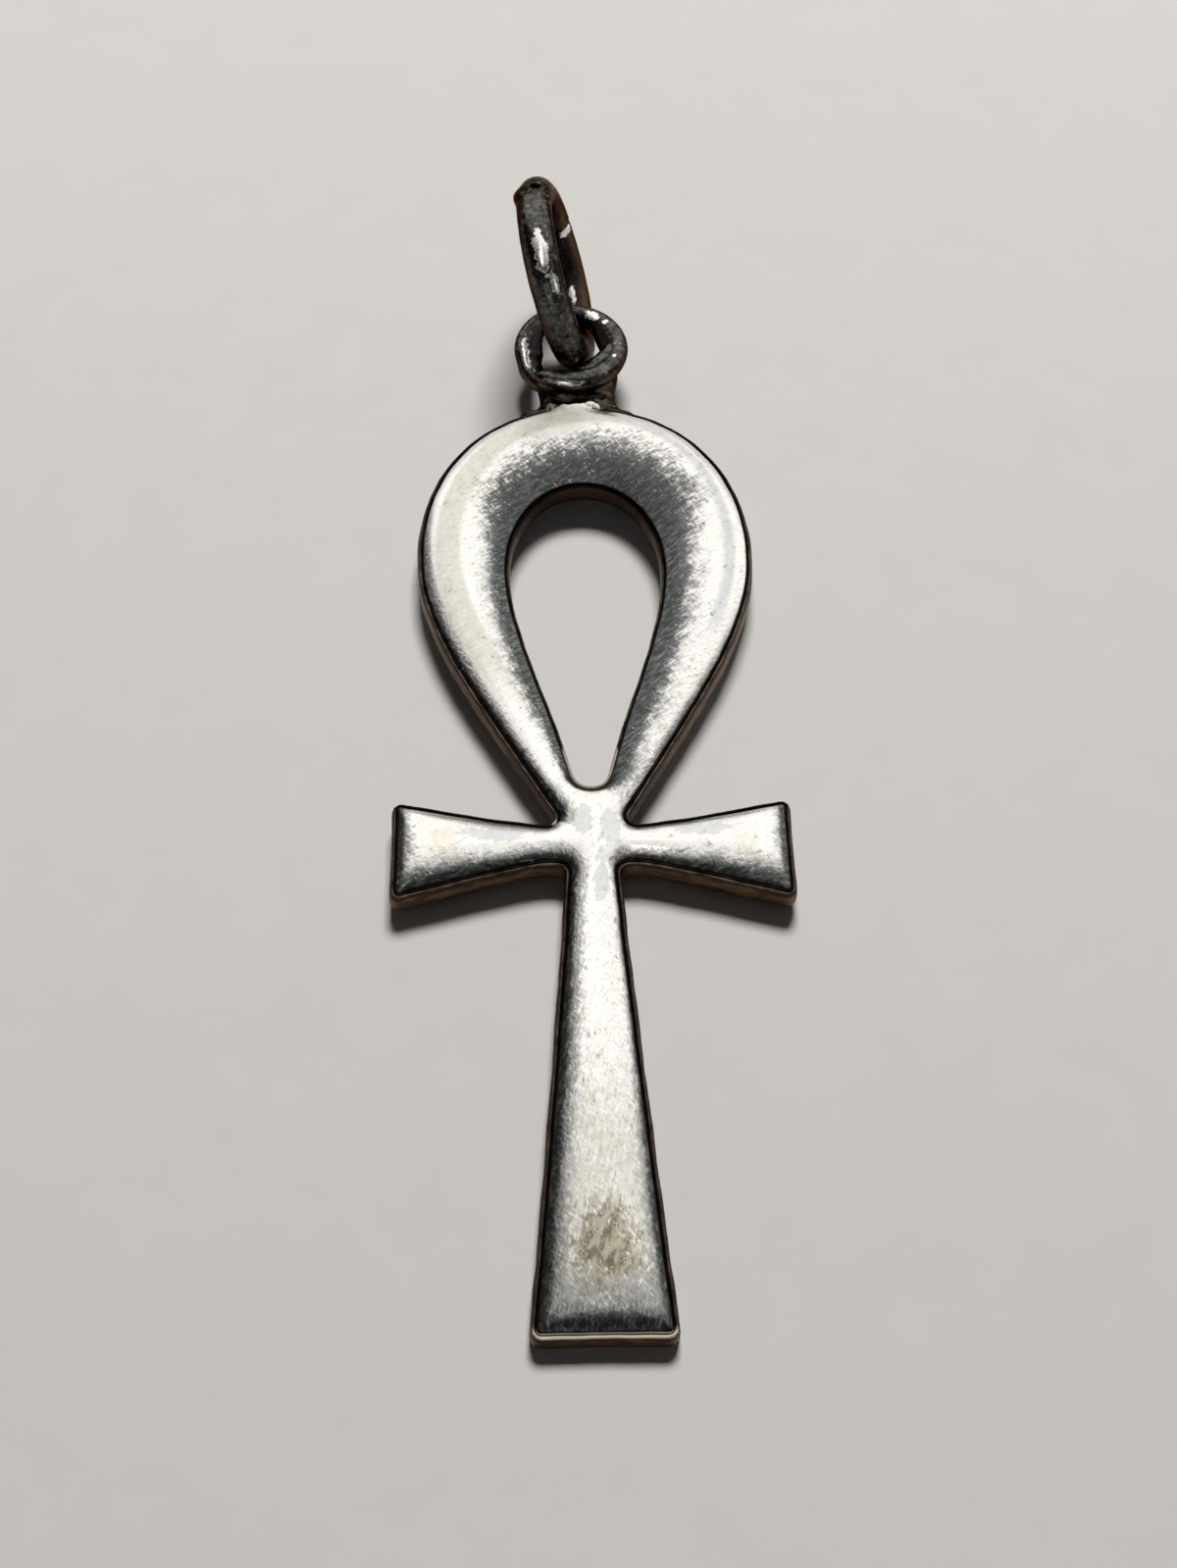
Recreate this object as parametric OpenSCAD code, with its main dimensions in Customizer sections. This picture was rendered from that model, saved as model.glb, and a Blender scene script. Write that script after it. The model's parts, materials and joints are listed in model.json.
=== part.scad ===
// Silver ankh pendant with a soldered wire eye and a jump ring through the eye.
// X runs across the arms, +Y from the foot towards the jump ring, +Z out of the crowned front.
// The pendant lies on a table: its foot touches the table, and its eye lies on the jump ring.

/* [Overall] */
// Length of the cast ankh, from the foot to the top of the loop
ankh_length = 49.4; // [46:0.2:53]
// Span across the two arms
arm_span = 18; // [15:0.5:21]
// Height of the crossing above the foot
cross_height = 23; // [21:0.2:25]

/* [Loop] */
// Width across the teardrop loop
loop_width = 16.3; // [14:0.1:18]
// Height above the foot at which the loop is widest
loop_widest = 39.6; // [38:0.2:41]
// Width across the hole
hole_width = 7.3; // [6:0.1:8]
// Metal between the hole and the top of the loop
top_band = 5.4; // [4.4:0.1:6.4]
// Rise from the crossing to the foot of the hole
hole_rise = 3.2; // [2.6:0.1:4]
// Width across both legs of the loop just above the arms
leg_width = 2.86; // [2.5:0.02:3.4]

/* [Arms] */
// Height of an arm's face at its root
arm_root = 1.7; // [1.4:0.05:2.2]
// Height of an arm at its end
arm_end = 5.2; // [4:0.1:6.2]
// How far an arm's end sits lower than its root
arm_droop = 0.25; // [0:0.05:0.6]

/* [Stem] */
// Width of the stem's face under the arms
stem_waist = 1.9; // [1.5:0.05:2.4]
// Width of the foot
foot_width = 6; // [4.5:0.1:7.5]

/* [Section] */
// Height of the side wall, from the flat back to the edge of the face
wall_height = 1.1; // [0.8:0.05:1.6]
// Rise of the crowned face above its edge, at the widest places
crown = 0.75; // [0.4:0.05:1.1]
// How far the rounded side wall stands out beyond the edge of the face
wall_bulge = 0.3; // [0.15:0.05:0.4]
// How far the wall of the hole stands into the hole
hole_bulge = 0.22; // [0.1:0.02:0.3]

/* [Corners] */
// Radius in the corners between stem and arms
armpit_radius = 0.65; // [0.4:0.05:0.9]
// Radius in the corners between arms and loop
crotch_radius = 0.6; // [0.45:0.05:0.8]
// Radius on the corners of the arms and the foot
corner_radius = 0.2; // [0.1:0.05:0.4]
// Radius at the foot of the hole
hole_foot_radius = 0.86; // [0.6:0.02:1]

/* [Eye] */
// Outer diameter of the wire eye
eye_diameter = 5.8; // [5.6:0.1:6.6]
// Wire of the eye
eye_wire = 0.98; // [0.7:0.02:1.1]
// How far the eye is soldered to the left of the middle
eye_offset = 0.45; // [0:0.05:0.6]
// Height of the middle of the eye's wire above the flat back
eye_level = 1.25; // [1.1:0.05:1.5]
// Gap between the loop and the wire of the eye, bridged by the neck
neck_length = 1; // [0.6:0.05:1.4]
// Width of the neck
neck_width = 4.3; // [3.2:0.1:4.6]
// Thickness of the neck
neck_thickness = 0.85; // [0.6:0.05:0.95]
// Radius of the hollow corners between the neck and the loop
neck_radius = 1.2; // [0.8:0.1:1.4]

/* [Jump ring] */
// Outer diameter of the jump ring
ring_diameter = 10; // [9.4:0.1:11]
// Wire of the jump ring
ring_wire = 1.8; // [1.3:0.05:1.9]
// How far the top of the ring leans to the left, in degrees
ring_lean = 16; // [0:1:25]
// How far the outer side of the ring is turned to the left, in degrees
ring_twist = 2.7; // [0:0.1:6]
// How far the eye lies up the ring from the ring's lowest point, in degrees
ring_slip = 10; // [0:1:15]
// Gap between the ring's wire and the eye's wire
wire_gap = 0.12; // [0.08:0.02:0.3]

/* [Hidden] */

silver = [0.79, 0.78, 0.75];
dark_silver = [0.52, 0.50, 0.46];
wire_fn = 48;
turn_fn = 96;

// How often each stretch of the outline is cut into straight pieces.
arm_cuts = 7;
stem_cuts = 10;
loop_cuts = 12;
bend_cuts = 6;
end_cuts = 4;

// The face is the crowned front inside the side wall.
face_foot = wall_bulge;
face_top = ankh_length - wall_bulge;
face_arm = arm_span / 2 - wall_bulge;
face_half_loop = loop_width / 2 - wall_bulge;
face_half_foot = foot_width / 2 - wall_bulge;
face_half_end = arm_end / 2 - wall_bulge;
face_hole_top = ankh_length - top_band + hole_bulge;
face_hole_foot = cross_height + hole_rise - hole_bulge;
face_hole_half = hole_width / 2 + hole_bulge;
crossing = [0, cross_height];

function mix(a, b, t) = a * (1 - t) + b * t;
function bend(a, b, c, t) = mix(mix(a, b, t), mix(b, c, t), t);
function curve(a, b, c, d, t) = mix(bend(a, b, c, t), bend(b, c, d, t), t);
function at_angle(angle) = [cos(angle), sin(angle)];
function arc(center, radius, from, to, cuts) =
    [for (i = [0 : cuts]) center + radius * at_angle(mix(from, to, i / cuts))];
// A quarter of an oval; a fullness of 2 is an ellipse, and more is squarer.
function oval(angle, half_width, rise, fullness) =
    [half_width * pow(cos(angle), 2 / fullness), rise * pow(sin(angle), 2 / fullness)];

// Stem: half the width of the face at a height above the foot.
stem_top = cross_height - arm_root / 2;
stem_taper = 1.14;
function stem_half(y) =
    mix(stem_waist / 2, face_half_foot, pow((stem_top - y) / (stem_top - face_foot), stem_taper));

// Arm: middle and half the height of the face at a distance from the stem's axis.
corner_gap = 0.15;
arm_start = max(stem_waist / 2 + armpit_radius, leg_width / 2 + crotch_radius) + corner_gap;
arm_flare = 1.15;
function arm_share(x) = max(0, (x - arm_start) / (face_arm - arm_start));
function arm_middle(x) = cross_height - arm_droop * arm_share(x);
function arm_half(x) = mix(arm_root / 2, face_half_end, pow(arm_share(x), arm_flare));

// Loop: a place of 0 is its foot, 1 its widest place and 2 its top.
// The lower half is one curve that ends in a straight leg, and the upper half a quarter oval.
leg_angle = 29;
hole_leg_angle = 14.5;
leg_straight = 0.43;
side_straight = 0.29;
function teardrop(place, foot, lean, side, top, fullness) =
    let (rise = side.y - foot.y)
    place < 1
        ? curve(foot, foot + [tan(lean), 1] * rise * leg_straight, side - [0, rise * side_straight],
                side, place)
        : [0, side.y] + oval((place - 1) * 90, side.x, top - side.y, fullness);

outer_fullness = 2.15;
crotch_center = [leg_width / 2 + crotch_radius, cross_height + arm_root / 2 + crotch_radius];
leg_foot = crotch_center + crotch_radius * at_angle(180 - leg_angle);
function outer_edge(place) =
    teardrop(place, leg_foot, leg_angle, [face_half_loop, loop_widest], face_top, outer_fullness);

hole_fullness = 2;
hole_foot_rise = 1.1;
hole_widest_drop = 0.7;
hole_corner = hole_foot_radius + hole_bulge;
hole_leg_foot = [hole_corner, face_hole_foot + hole_corner * hole_foot_rise];
function hole_edge(place) =
    teardrop(place, hole_leg_foot, hole_leg_angle, [face_hole_half, loop_widest - hole_widest_drop],
             face_hole_top, hole_fullness);

// The crest of the loop's crown lies nearer to the outer edge than to the hole.
crest_share = 0.42;
function crest(place) = mix(outer_edge(place), hole_edge(place), crest_share);

// Each row of the outline is [edge of the face, crest above it, share of the crown, steepness].
// A higher steepness rolls the face off closer to its edge.
narrow_share = 0.75;
outer_steepness = 2.6;
hole_steepness = 1.9;
hole_foot_steepness = 6;
end_inset = 1.1;
foot_crest = [0, face_foot + end_inset];
arm_crest_end = face_arm - end_inset;
stem_face_end = stem_top - armpit_radius;
corner_step = corner_radius * (1 - cos(45));

function foot_rows() = [
    for (x = [0, 0.5, 1])
        [[(face_half_foot - corner_radius) * x, face_foot], foot_crest, 1, outer_steepness],
    [[face_half_foot - corner_step, face_foot + corner_step], foot_crest, 1, outer_steepness]
];
function stem_rows() = [
    for (i = [0 : stem_cuts])
        let (t = i / stem_cuts, y = mix(face_foot + corner_radius, stem_face_end, t))
        [[stem_half(y), y], [0, max(y, foot_crest.y)], mix(1, narrow_share, t), outer_steepness]
];
armpit_turn = [170, 85];
function armpit_rows() =
    let (center = [stem_half(stem_face_end) + armpit_radius, stem_face_end])
    [for (p = arc(center, armpit_radius, armpit_turn[0], armpit_turn[1], bend_cuts))
        [p, crossing, narrow_share, outer_steepness]];
function arm_rows(side) = [
    for (i = [0 : arm_cuts])
        let (t = side < 0 ? i / arm_cuts : 1 - i / arm_cuts,
             x = mix(arm_start, face_arm - corner_radius, t),
             crest_x = min(x, arm_crest_end))
        [[x, arm_middle(x) + side * arm_half(x)], [crest_x, arm_middle(crest_x)],
         mix(narrow_share, 1, t), outer_steepness]
];
function arm_end_rows() =
    let (half = face_half_end - corner_radius,
         crest_end = [arm_crest_end, arm_middle(arm_crest_end)])
    [for (i = [0 : end_cuts])
        [[face_arm, arm_middle(face_arm) + mix(-half, half, i / end_cuts)], crest_end, 1,
         outer_steepness]];
function crotch_rows() =
    let (bend_points = arc(crotch_center, crotch_radius, 270, 180 - leg_angle, bend_cuts))
    [for (i = [0 : bend_cuts - 1]) [bend_points[i], crossing, narrow_share, outer_steepness]];

// The legs of the loop swell from the crossing's height to the full crown.
swell_end = 0.6;
function swell(place) = min(1, place / swell_end);
function loop_share(place) = mix(narrow_share, 1, swell(place));
loop_places = [for (i = [0 : 2 * loop_cuts]) i / loop_cuts];
function outer_rows() =
    [for (place = loop_places) [outer_edge(place), crest(place), loop_share(place), outer_steepness]];

hole_foot_fullness = 0.8;
function hole_foot_rows() =
    let (corner = [hole_leg_foot.x * hole_foot_fullness, face_hole_foot])
    [for (i = [0 : bend_cuts - 1])
        [bend([0, face_hole_foot], corner, hole_leg_foot, i / bend_cuts), crossing, narrow_share,
         hole_foot_steepness]];
function hole_leg_rows() =
    [for (place = loop_places)
        [hole_edge(place), crest(place), loop_share(place),
         mix(hole_foot_steepness, hole_steepness, swell(place))]];

function flip(row) = [[-row[0].x, row[0].y], [-row[1].x, row[1].y], row[2], row[3]];
// Closes a half outline that starts and ends on the middle line.
function mirrored(half) = concat(half, [for (i = [len(half) - 2 : -1 : 1]) flip(half[i])]);

outline = mirrored(concat(foot_rows(), stem_rows(), armpit_rows(), arm_rows(-1), arm_end_rows(),
                          arm_rows(1), crotch_rows(), outer_rows()));
hole_outline = mirrored(concat(hole_foot_rows(), hole_leg_rows()));

function unit(v) = v / norm(v);
function outward(rows, i) =
    let (n = len(rows), along = rows[(i + 1) % n][0] - rows[(i + n - 1) % n][0])
    unit([along.y, -along.x]);

// Side wall from the back to the edge of the face: share of the bulge, share of the height.
wall_section = [[0.7, 0], [1, 0.2], [0.95, 0.7], [0.55, 0.93], [0, 1]];
// Places of the cuts on the way from the edge of the face to its crest.
crown_section = [0.1, 0.25, 0.45, 0.7, 1];

// Vertices along one row: from the crest on the back, round the wall, to the crest on the front.
function section(rows, i, bulge) =
    let (edge = rows[i][0], top = rows[i][1], rise = crown * rows[i][2], steepness = rows[i][3],
         out = outward(rows, i) * bulge)
    concat(
        [[top.x, top.y, 0]],
        [for (w = wall_section) [edge.x + out.x * w[0], edge.y + out.y * w[0], wall_height * w[1]]],
        [for (t = crown_section)
            let (p = mix(edge, top, t))
            [p.x, p.y, wall_height + rise * (1 - pow(1 - t, steepness))]]
    );

per_row = 1 + len(wall_section) + len(crown_section);
function skin_points(rows, bulge) = [for (i = [0 : len(rows) - 1]) each section(rows, i, bulge)];
// Two triangles for each cell; where rows share a crest point, the one without area is left out.
function skin_faces(points, count, first, inward) = [
    for (i = [0 : count - 1], k = [0 : per_row - 2])
        let (a = i * per_row + k, b = ((i + 1) % count) * per_row + k)
        for (tri = [[b + 1, b, a], [a + 1, b + 1, a]])
            if (points[tri[0]] != points[tri[1]] && points[tri[1]] != points[tri[2]]
                && points[tri[2]] != points[tri[0]])
                [for (v = inward ? [tri[2], tri[1], tri[0]] : tri) v + first]
];

module cast_body() {
    outer_points = skin_points(outline, wall_bulge);
    hole_points = skin_points(hole_outline, -hole_bulge);
    polyhedron(
        points = concat(outer_points, hole_points),
        faces = concat(skin_faces(outer_points, len(outline), 0, false),
                       skin_faces(hole_points, len(hole_outline), len(outer_points), true))
    );
}

module wire_ring(turn, wire) {
    rotate_extrude($fn = turn_fn) translate([turn, 0]) circle(d = wire, $fn = wire_fn);
}

// The eye is a ring of round wire beyond the top of the loop.
eye_turn = (eye_diameter - eye_wire) / 2;
eye_center = [-eye_offset, ankh_length + neck_length + eye_diameter / 2, eye_level];

// The neck is a short plate from inside the loop to the middle of the eye's wire.
neck_root = 1.3;
neck_waist = 0.1;
neck_top = eye_level - eye_wire / 4;
neck_base = neck_top - neck_thickness;
neck_end_inset = eye_wire / 5;

module neck_outline() {
    waist = neck_root + neck_waist;
    length = neck_root + neck_length + eye_diameter / 2;
    difference() {
        union() {
            translate([-neck_width / 2, 0]) square([neck_width, length]);
            translate([-neck_width / 2 - neck_radius, 0]) square([neck_width + 2 * neck_radius, waist]);
        }
        for (side = [-1, 1])
            translate([side * (neck_width / 2 + neck_radius), waist])
                circle(r = neck_radius, $fn = wire_fn);
        translate([0, length]) circle(r = eye_turn - neck_end_inset, $fn = turn_fn);
    }
}

module neck() {
    translate([-eye_offset, ankh_length - neck_root, neck_base])
        linear_extrude(neck_thickness) neck_outline();
}

module flat_ankh() {
    cast_body();
    neck();
    translate(eye_center) wire_ring(eye_turn, eye_wire);
}

// The jump ring stands on its wire. Its axis, and the ways across and up within its plane:
ring_turn = (ring_diameter - ring_wire) / 2;
ring_axis = [cos(ring_lean) * cos(ring_twist), cos(ring_lean) * sin(ring_twist), sin(ring_lean)];
ring_across = [-sin(ring_twist), cos(ring_twist), 0];
ring_up = cross(ring_axis, ring_across);
ring_level = ring_turn * ring_up.z + ring_wire / 2;

// From the eye's outer wire, which lies just inside the ring's wire, to the middle of the ring.
wire_to_middle = ring_turn - (ring_wire + eye_wire) / 2 - wire_gap;
to_middle = wire_to_middle * (ring_across * sin(ring_slip) + ring_up * cos(ring_slip));

// The ankh is tilted about the edge of its back at the foot until its eye lies on the ring.
heel = face_foot - wall_section[0][0] * wall_bulge;
outer_wire = eye_center + [0, eye_turn - heel, 0];
outer_wire_level = ring_level - to_middle.z;
wire_reach = norm([outer_wire.y, outer_wire.z]);
rest_angle = asin(outer_wire_level / wire_reach) - atan2(outer_wire.z, outer_wire.y);
resting_wire = [outer_wire.x,
                heel + outer_wire.y * cos(rest_angle) - outer_wire.z * sin(rest_angle),
                outer_wire_level];
ring_center = resting_wire + to_middle;

// The origin is on the table, below the middle of the whole pendant's length.
ring_reach = ring_turn * norm([ring_axis.x, ring_axis.z]) + ring_wire / 2;
middle = [0, -(ring_center.y + ring_reach) / 2, 0];

module ankh() {
    color(silver)
        translate(middle + [0, heel, 0]) rotate([rest_angle, 0, 0]) translate([0, -heel, 0]) flat_ankh();
}

module jump_ring() {
    color(dark_silver)
        translate(middle + ring_center) rotate([0, 90 - ring_lean, ring_twist])
            wire_ring(ring_turn, ring_wire);
}

ankh();
jump_ring();
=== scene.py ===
# %% [markdown]
# # A worn silver ankh pendant
# The pendant is a cast silver ankh with a crowned front and a flat back. A small eye of round wire is
# soldered to its top, and a heavy jump ring hangs through the eye. This lesson builds the looks of the
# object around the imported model, which fixes where each piece is and how large it is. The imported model
# comes first, so that every later cell can take its places from it.

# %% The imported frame
import json
import math
import random
from collections import namedtuple
from functools import reduce
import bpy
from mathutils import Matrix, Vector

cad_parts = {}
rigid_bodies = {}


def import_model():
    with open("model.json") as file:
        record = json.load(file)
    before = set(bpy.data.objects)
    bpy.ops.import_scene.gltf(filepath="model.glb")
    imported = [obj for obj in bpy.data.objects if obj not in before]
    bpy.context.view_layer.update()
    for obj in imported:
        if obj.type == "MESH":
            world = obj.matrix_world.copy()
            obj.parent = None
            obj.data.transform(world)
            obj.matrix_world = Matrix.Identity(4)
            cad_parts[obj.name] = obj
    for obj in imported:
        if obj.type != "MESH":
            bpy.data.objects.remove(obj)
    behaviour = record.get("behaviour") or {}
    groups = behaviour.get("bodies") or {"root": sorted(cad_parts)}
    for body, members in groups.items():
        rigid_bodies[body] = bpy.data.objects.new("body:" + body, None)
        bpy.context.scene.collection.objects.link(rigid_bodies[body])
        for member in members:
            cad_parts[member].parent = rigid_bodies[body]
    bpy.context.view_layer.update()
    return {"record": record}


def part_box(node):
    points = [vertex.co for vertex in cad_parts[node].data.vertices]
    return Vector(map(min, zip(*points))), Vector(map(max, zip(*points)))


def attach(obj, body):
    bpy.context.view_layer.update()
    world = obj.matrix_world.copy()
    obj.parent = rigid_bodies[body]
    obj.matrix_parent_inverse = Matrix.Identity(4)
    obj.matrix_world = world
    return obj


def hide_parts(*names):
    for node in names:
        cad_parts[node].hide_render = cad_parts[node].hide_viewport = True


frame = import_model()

from types import SimpleNamespace

import bmesh
import bpy
import numpy
from mathutils import Matrix, Vector, noise

MM = 0.001


# %% [markdown]
# ## Where the pendant lies
# The cast body is modelled flat, with its back at height 0 and its foot at Y 0, because its outline is
# easy to state that way. On the table it leans on the edge of its foot, with its eye up on the jump ring.
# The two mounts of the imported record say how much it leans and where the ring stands, so one matrix takes
# a flat piece to its place, and another takes a ring in the XY plane to the jump ring's place.

# %% From flat pieces to the table
mounts = {m["name"]: m for m in frame["record"]["mounts"]}
lean = math.asin(mounts["back"]["axis"][1])

WALL_HEIGHT = 1.1
WALL_BULGE = 0.3
HOLE_BULGE = 0.22
FOOT_INSET = 0.7
HEEL = WALL_BULGE * (1 - FOOT_INSET)
BULGE_HEIGHT = 0.2 * WALL_HEIGHT

foot_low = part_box("ankh")[0].y / MM
heel_y = foot_low + HEEL * math.cos(lean) + BULGE_HEIGHT * math.sin(lean)
lie_down = (Matrix.Scale(MM, 4) @ Matrix.Translation((0, heel_y, 0)) @ Matrix.Rotation(lean, 4, "X")
            @ Matrix.Translation((0, -HEEL, 0)))

ring_axis = Vector(mounts["chain_ring"]["axis"])
ring_center = Vector(mounts["chain_ring"]["pos_m"]) / MM
ring_across = Vector((-ring_axis.y, ring_axis.x, 0)).normalized()
ring_up = ring_axis.cross(ring_across)
stand_up = Matrix.Scale(MM, 4) @ Matrix.Translation(ring_center) @ Matrix(
    (ring_across, ring_up, ring_axis)).transposed().to_4x4()
print(f"the ankh leans {math.degrees(lean):.3f} degrees, its heel is at Y {heel_y:.3f} mm,",
      f"and the ring leans {math.degrees(math.asin(ring_axis.z)):.1f} degrees")

# %% [markdown]
# ## The camera
# The picture is a close view from the foot's side, about 35 degrees from straight above. Its distance and
# its turn were worked out from the pendant's own symmetry. A camera looks along its own -Z with +Y up, so
# three turns of a new camera give its direction: roll about its own Z, tilt about X, and yaw about Z.

# %% Camera
IMAGE_SIZE = (1200, 1599)
FOCAL_PIXELS = 2400
CAMERA_AT = Vector((-2.786, -65.844, 88.623)) * MM
CAMERA_TILT = 35.276
CAMERA_YAW = -2.486
CAMERA_ROLL = 1.551
CAMERA_CLIP = (0.005, 20)


def turned(angle, axis):
    return Matrix.Rotation(math.radians(angle), 4, axis)


camera = bpy.data.objects.new("photo_camera", bpy.data.cameras.new("photo_camera"))
bpy.context.scene.collection.objects.link(camera)
bpy.context.scene.camera = camera
camera.data.lens = camera.data.sensor_width * FOCAL_PIXELS / max(IMAGE_SIZE)
camera.data.clip_start = CAMERA_CLIP[0]
camera.data.clip_end = CAMERA_CLIP[1]
camera.matrix_world = (Matrix.Translation(CAMERA_AT) @ turned(CAMERA_YAW, "Z") @ turned(CAMERA_TILT, "X")
                       @ turned(CAMERA_ROLL, "Z"))
print(f"camera lens {camera.data.lens:.1f} mm, {CAMERA_AT.length / MM:.0f} mm from the origin")

# %% [markdown]
# ## Light
# Metal shows what it reflects, so the light decides how it looks. The camera sees the flat parts of the
# face reflect the space behind the pendant, half way up. A wide soft panel stands there, a little to the
# right, and makes the face bright. Two dimmer panels carry its light on past the zenith, so that slopes
# that face the camera darken softly. Small lamps give the round wires their crisp shines, and the last
# panel lights the table alone, so that its shadows can fall as they do in the picture.

# %% Studio light
ROOM_LIGHT = (1, 0.97, 0.93, 1)
ROOM_STRENGTH = 0.035
# Panels as softbox takes them: azimuth, elevation, distance, width, height and brightness.
METAL_PANELS = {
    "back_panel": (12, 34, 0.36, 0.94, 0.44, 1.2),
    "upper_panel": (13, 78, 0.36, 0.7, 0.18, 1.0),
    "zenith_panel": (188, 80, 0.36, 0.5, 0.12, 0.3),
    "zenith_lamp": (186, 73, 0.4, 0.14, 0.13, 2.1),
    "right_lamp": (112, 26, 0.4, 0.08, 0.1, 1.4),
    "front_lamp": (184, 20, 0.4, 0.2, 0.06, 3)}
TABLE_PANEL = (6, 54, 0.6, 0.2, 0.16, 38)


def softbox(name, azimuth, elevation, distance, width, height, brightness, in_metal=True, on_table=True):
    """A soft panel that faces the pendant. Azimuth 0 is behind it, and 90 to its right. Lengths are in
    metres and angles in degrees."""
    light = bpy.data.lights.new(name, "AREA")
    light.shape = "RECTANGLE"
    light.size = width
    light.size_y = height
    light.energy = brightness * math.pi * width * height
    panel = bpy.data.objects.new(name, light)
    bpy.context.scene.collection.objects.link(panel)
    around, up = math.radians(azimuth), math.radians(elevation)
    toward = Vector((math.sin(around) * math.cos(up), math.cos(around) * math.cos(up), math.sin(up)))
    turn = toward.to_track_quat("Z", "Y").to_matrix().to_4x4()
    panel.matrix_world = Matrix.Translation(toward * distance) @ turn
    panel.visible_camera = False
    panel.visible_glossy = in_metal
    panel.visible_diffuse = on_table


for name, settings in METAL_PANELS.items():
    softbox(name, *settings, on_table=False)
softbox("table_panel", *TABLE_PANEL, in_metal=False)

world = bpy.data.worlds.new("studio")
world.use_nodes = True
world.node_tree.nodes["Background"].inputs["Color"].default_value = ROOM_LIGHT
world.node_tree.nodes["Background"].inputs["Strength"].default_value = ROOM_STRENGTH
bpy.context.scene.world = world
bpy.context.scene.view_settings.view_transform = "Standard"
print("lights:", [o.name for o in bpy.context.scene.objects if o.type == "LIGHT"])

# %% [markdown]
# ## A short way to write shader nodes
# A material is a tree of nodes, and its sums are long to write node by node. Here one small class wraps a
# node's output socket, so that Python's operators add the Math nodes, also in a sum such as 1 - mask.
# Every other node comes from one method of the second class, which first sets the node's settings, then
# its sockets. Colours are laid over each other by Mix nodes, because a Math node would turn them grey.

# %% Shader sums
class Flow:
    """The output socket of a node, with the operators that add Math nodes after it."""

    def __init__(self, paint, socket):
        self.paint = paint
        self.socket = socket

    def math(self, operation, *values):
        return self.paint.node("Math", {"operation": operation}, dict(enumerate(values)))

    def __add__(self, other):
        return self.math("ADD", self, other)

    def __mul__(self, other):
        return self.math("MULTIPLY", self, other)

    def __sub__(self, other):
        return self.math("SUBTRACT", self, other)

    def __rsub__(self, other):
        return self.math("SUBTRACT", other, self)

    def __truediv__(self, other):
        return self.math("DIVIDE", self, other)

    __radd__ = __add__
    __rmul__ = __mul__

    def most(self, other):
        return self.math("MAXIMUM", self, other)

    def least(self, other):
        return self.math("MINIMUM", self, other)

    def size(self):
        return self.math("ABSOLUTE", self)

    def rise(self, low, high):
        """0 below low, 1 above high, and smooth between. With low above high it falls."""
        return self.paint.node("MapRange", {"interpolation_type": "SMOOTHSTEP"},
                               {"Value": self, "From Min": low, "From Max": high})


def strongest(masks):
    """The highest of several masks at each place."""
    return reduce(Flow.most, masks)


class Paint:
    """A material in the making: its tree, and one method that adds any node."""

    def __init__(self, name):
        self.material = bpy.data.materials.new(name)
        self.material.use_nodes = True
        self.tree = self.material.node_tree
        self.tree.nodes.clear()

    def node(self, kind, settings=None, sockets=None, output=0):
        node = self.tree.nodes.new("ShaderNode" + kind)
        for name, value in (settings or {}).items():
            setattr(node, name, value)
        for name, value in (sockets or {}).items():
            if isinstance(value, Flow):
                self.tree.links.new(value.socket, node.inputs[name])
            else:
                node.inputs[name].default_value = value
        return Flow(self, node.outputs[output]) if node.outputs else node

    def mix(self, below, above, share):
        """The colour above laid over the one below."""
        return self.node("Mix", {"data_type": "RGBA"}, {"Factor": share, 6: below, 7: above}, output=2)

    def layered(self, colour, *layers):
        """A colour with others laid over it in turn. Each layer is a colour and its share."""
        for above, share in layers:
            colour = self.mix(colour, above, share)
        return colour

    def place(self):
        """The piece's own place in millimetres."""
        return self.node("Mapping", {}, {"Vector": self.node("TexCoord", output=3),
                                         "Scale": (1 / MM, 1 / MM, 1 / MM)})

    def turned(self, place, angle, stretch=(1, 1, 1)):
        """A place turned about Z and stretched, for patterns that run one way."""
        return self.node("Mapping", {"vector_type": "TEXTURE"},
                         {"Vector": place, "Rotation": (0, 0, math.radians(angle)), "Scale": stretch})

    def noise(self, place, scale, detail=3, roughness=0.55, distortion=0):
        return self.node("TexNoise", {}, {"Vector": place, "Scale": scale, "Detail": detail,
                                          "Roughness": roughness, "Distortion": distortion})

    def attribute(self, name):
        return self.node("Attribute", {"attribute_name": name}, output=2)

    def finish(self, shader):
        self.node("OutputMaterial", {}, {"Surface": shader})
        return self.material

    def metal(self, colour, metallic, rough, relief, depth, edge_tint=(1, 1, 1, 1)):
        """Finishes a metal, with its fine relief as a bump of some depth in metres."""
        bump = self.node("Bump", {}, {"Strength": 1.0, "Distance": depth, "Height": relief})
        return self.finish(self.node("BsdfPrincipled", {}, {
            "Base Color": colour, "Metallic": metallic, "Roughness": rough, "Normal": bump,
            "Specular Tint": edge_tint}))


print("the shader classes are ready:", Flow.__name__, Paint.__name__)

# %% [markdown]
# ## The table
# The pendant lies on a plain pale table. A grid with one large face is enough for it, and its paint is
# matt with a very faint unevenness, so that nothing draws the eye away from the metal.

# %% Table
TABLE_HALF = 2.0
TABLE_PALE = (0.70, 0.68, 0.65, 1)
TABLE_SHADE = (0.66, 0.64, 0.61, 1)


def table_paint():
    paint = Paint("pale_table")
    fleck = paint.noise(paint.place(), 0.35, detail=4)
    return paint.finish(paint.node("BsdfPrincipled", {}, {
        "Base Color": paint.mix(TABLE_SHADE, TABLE_PALE, fleck), "Roughness": 0.85,
        "Specular IOR Level": 0.15}))


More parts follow.
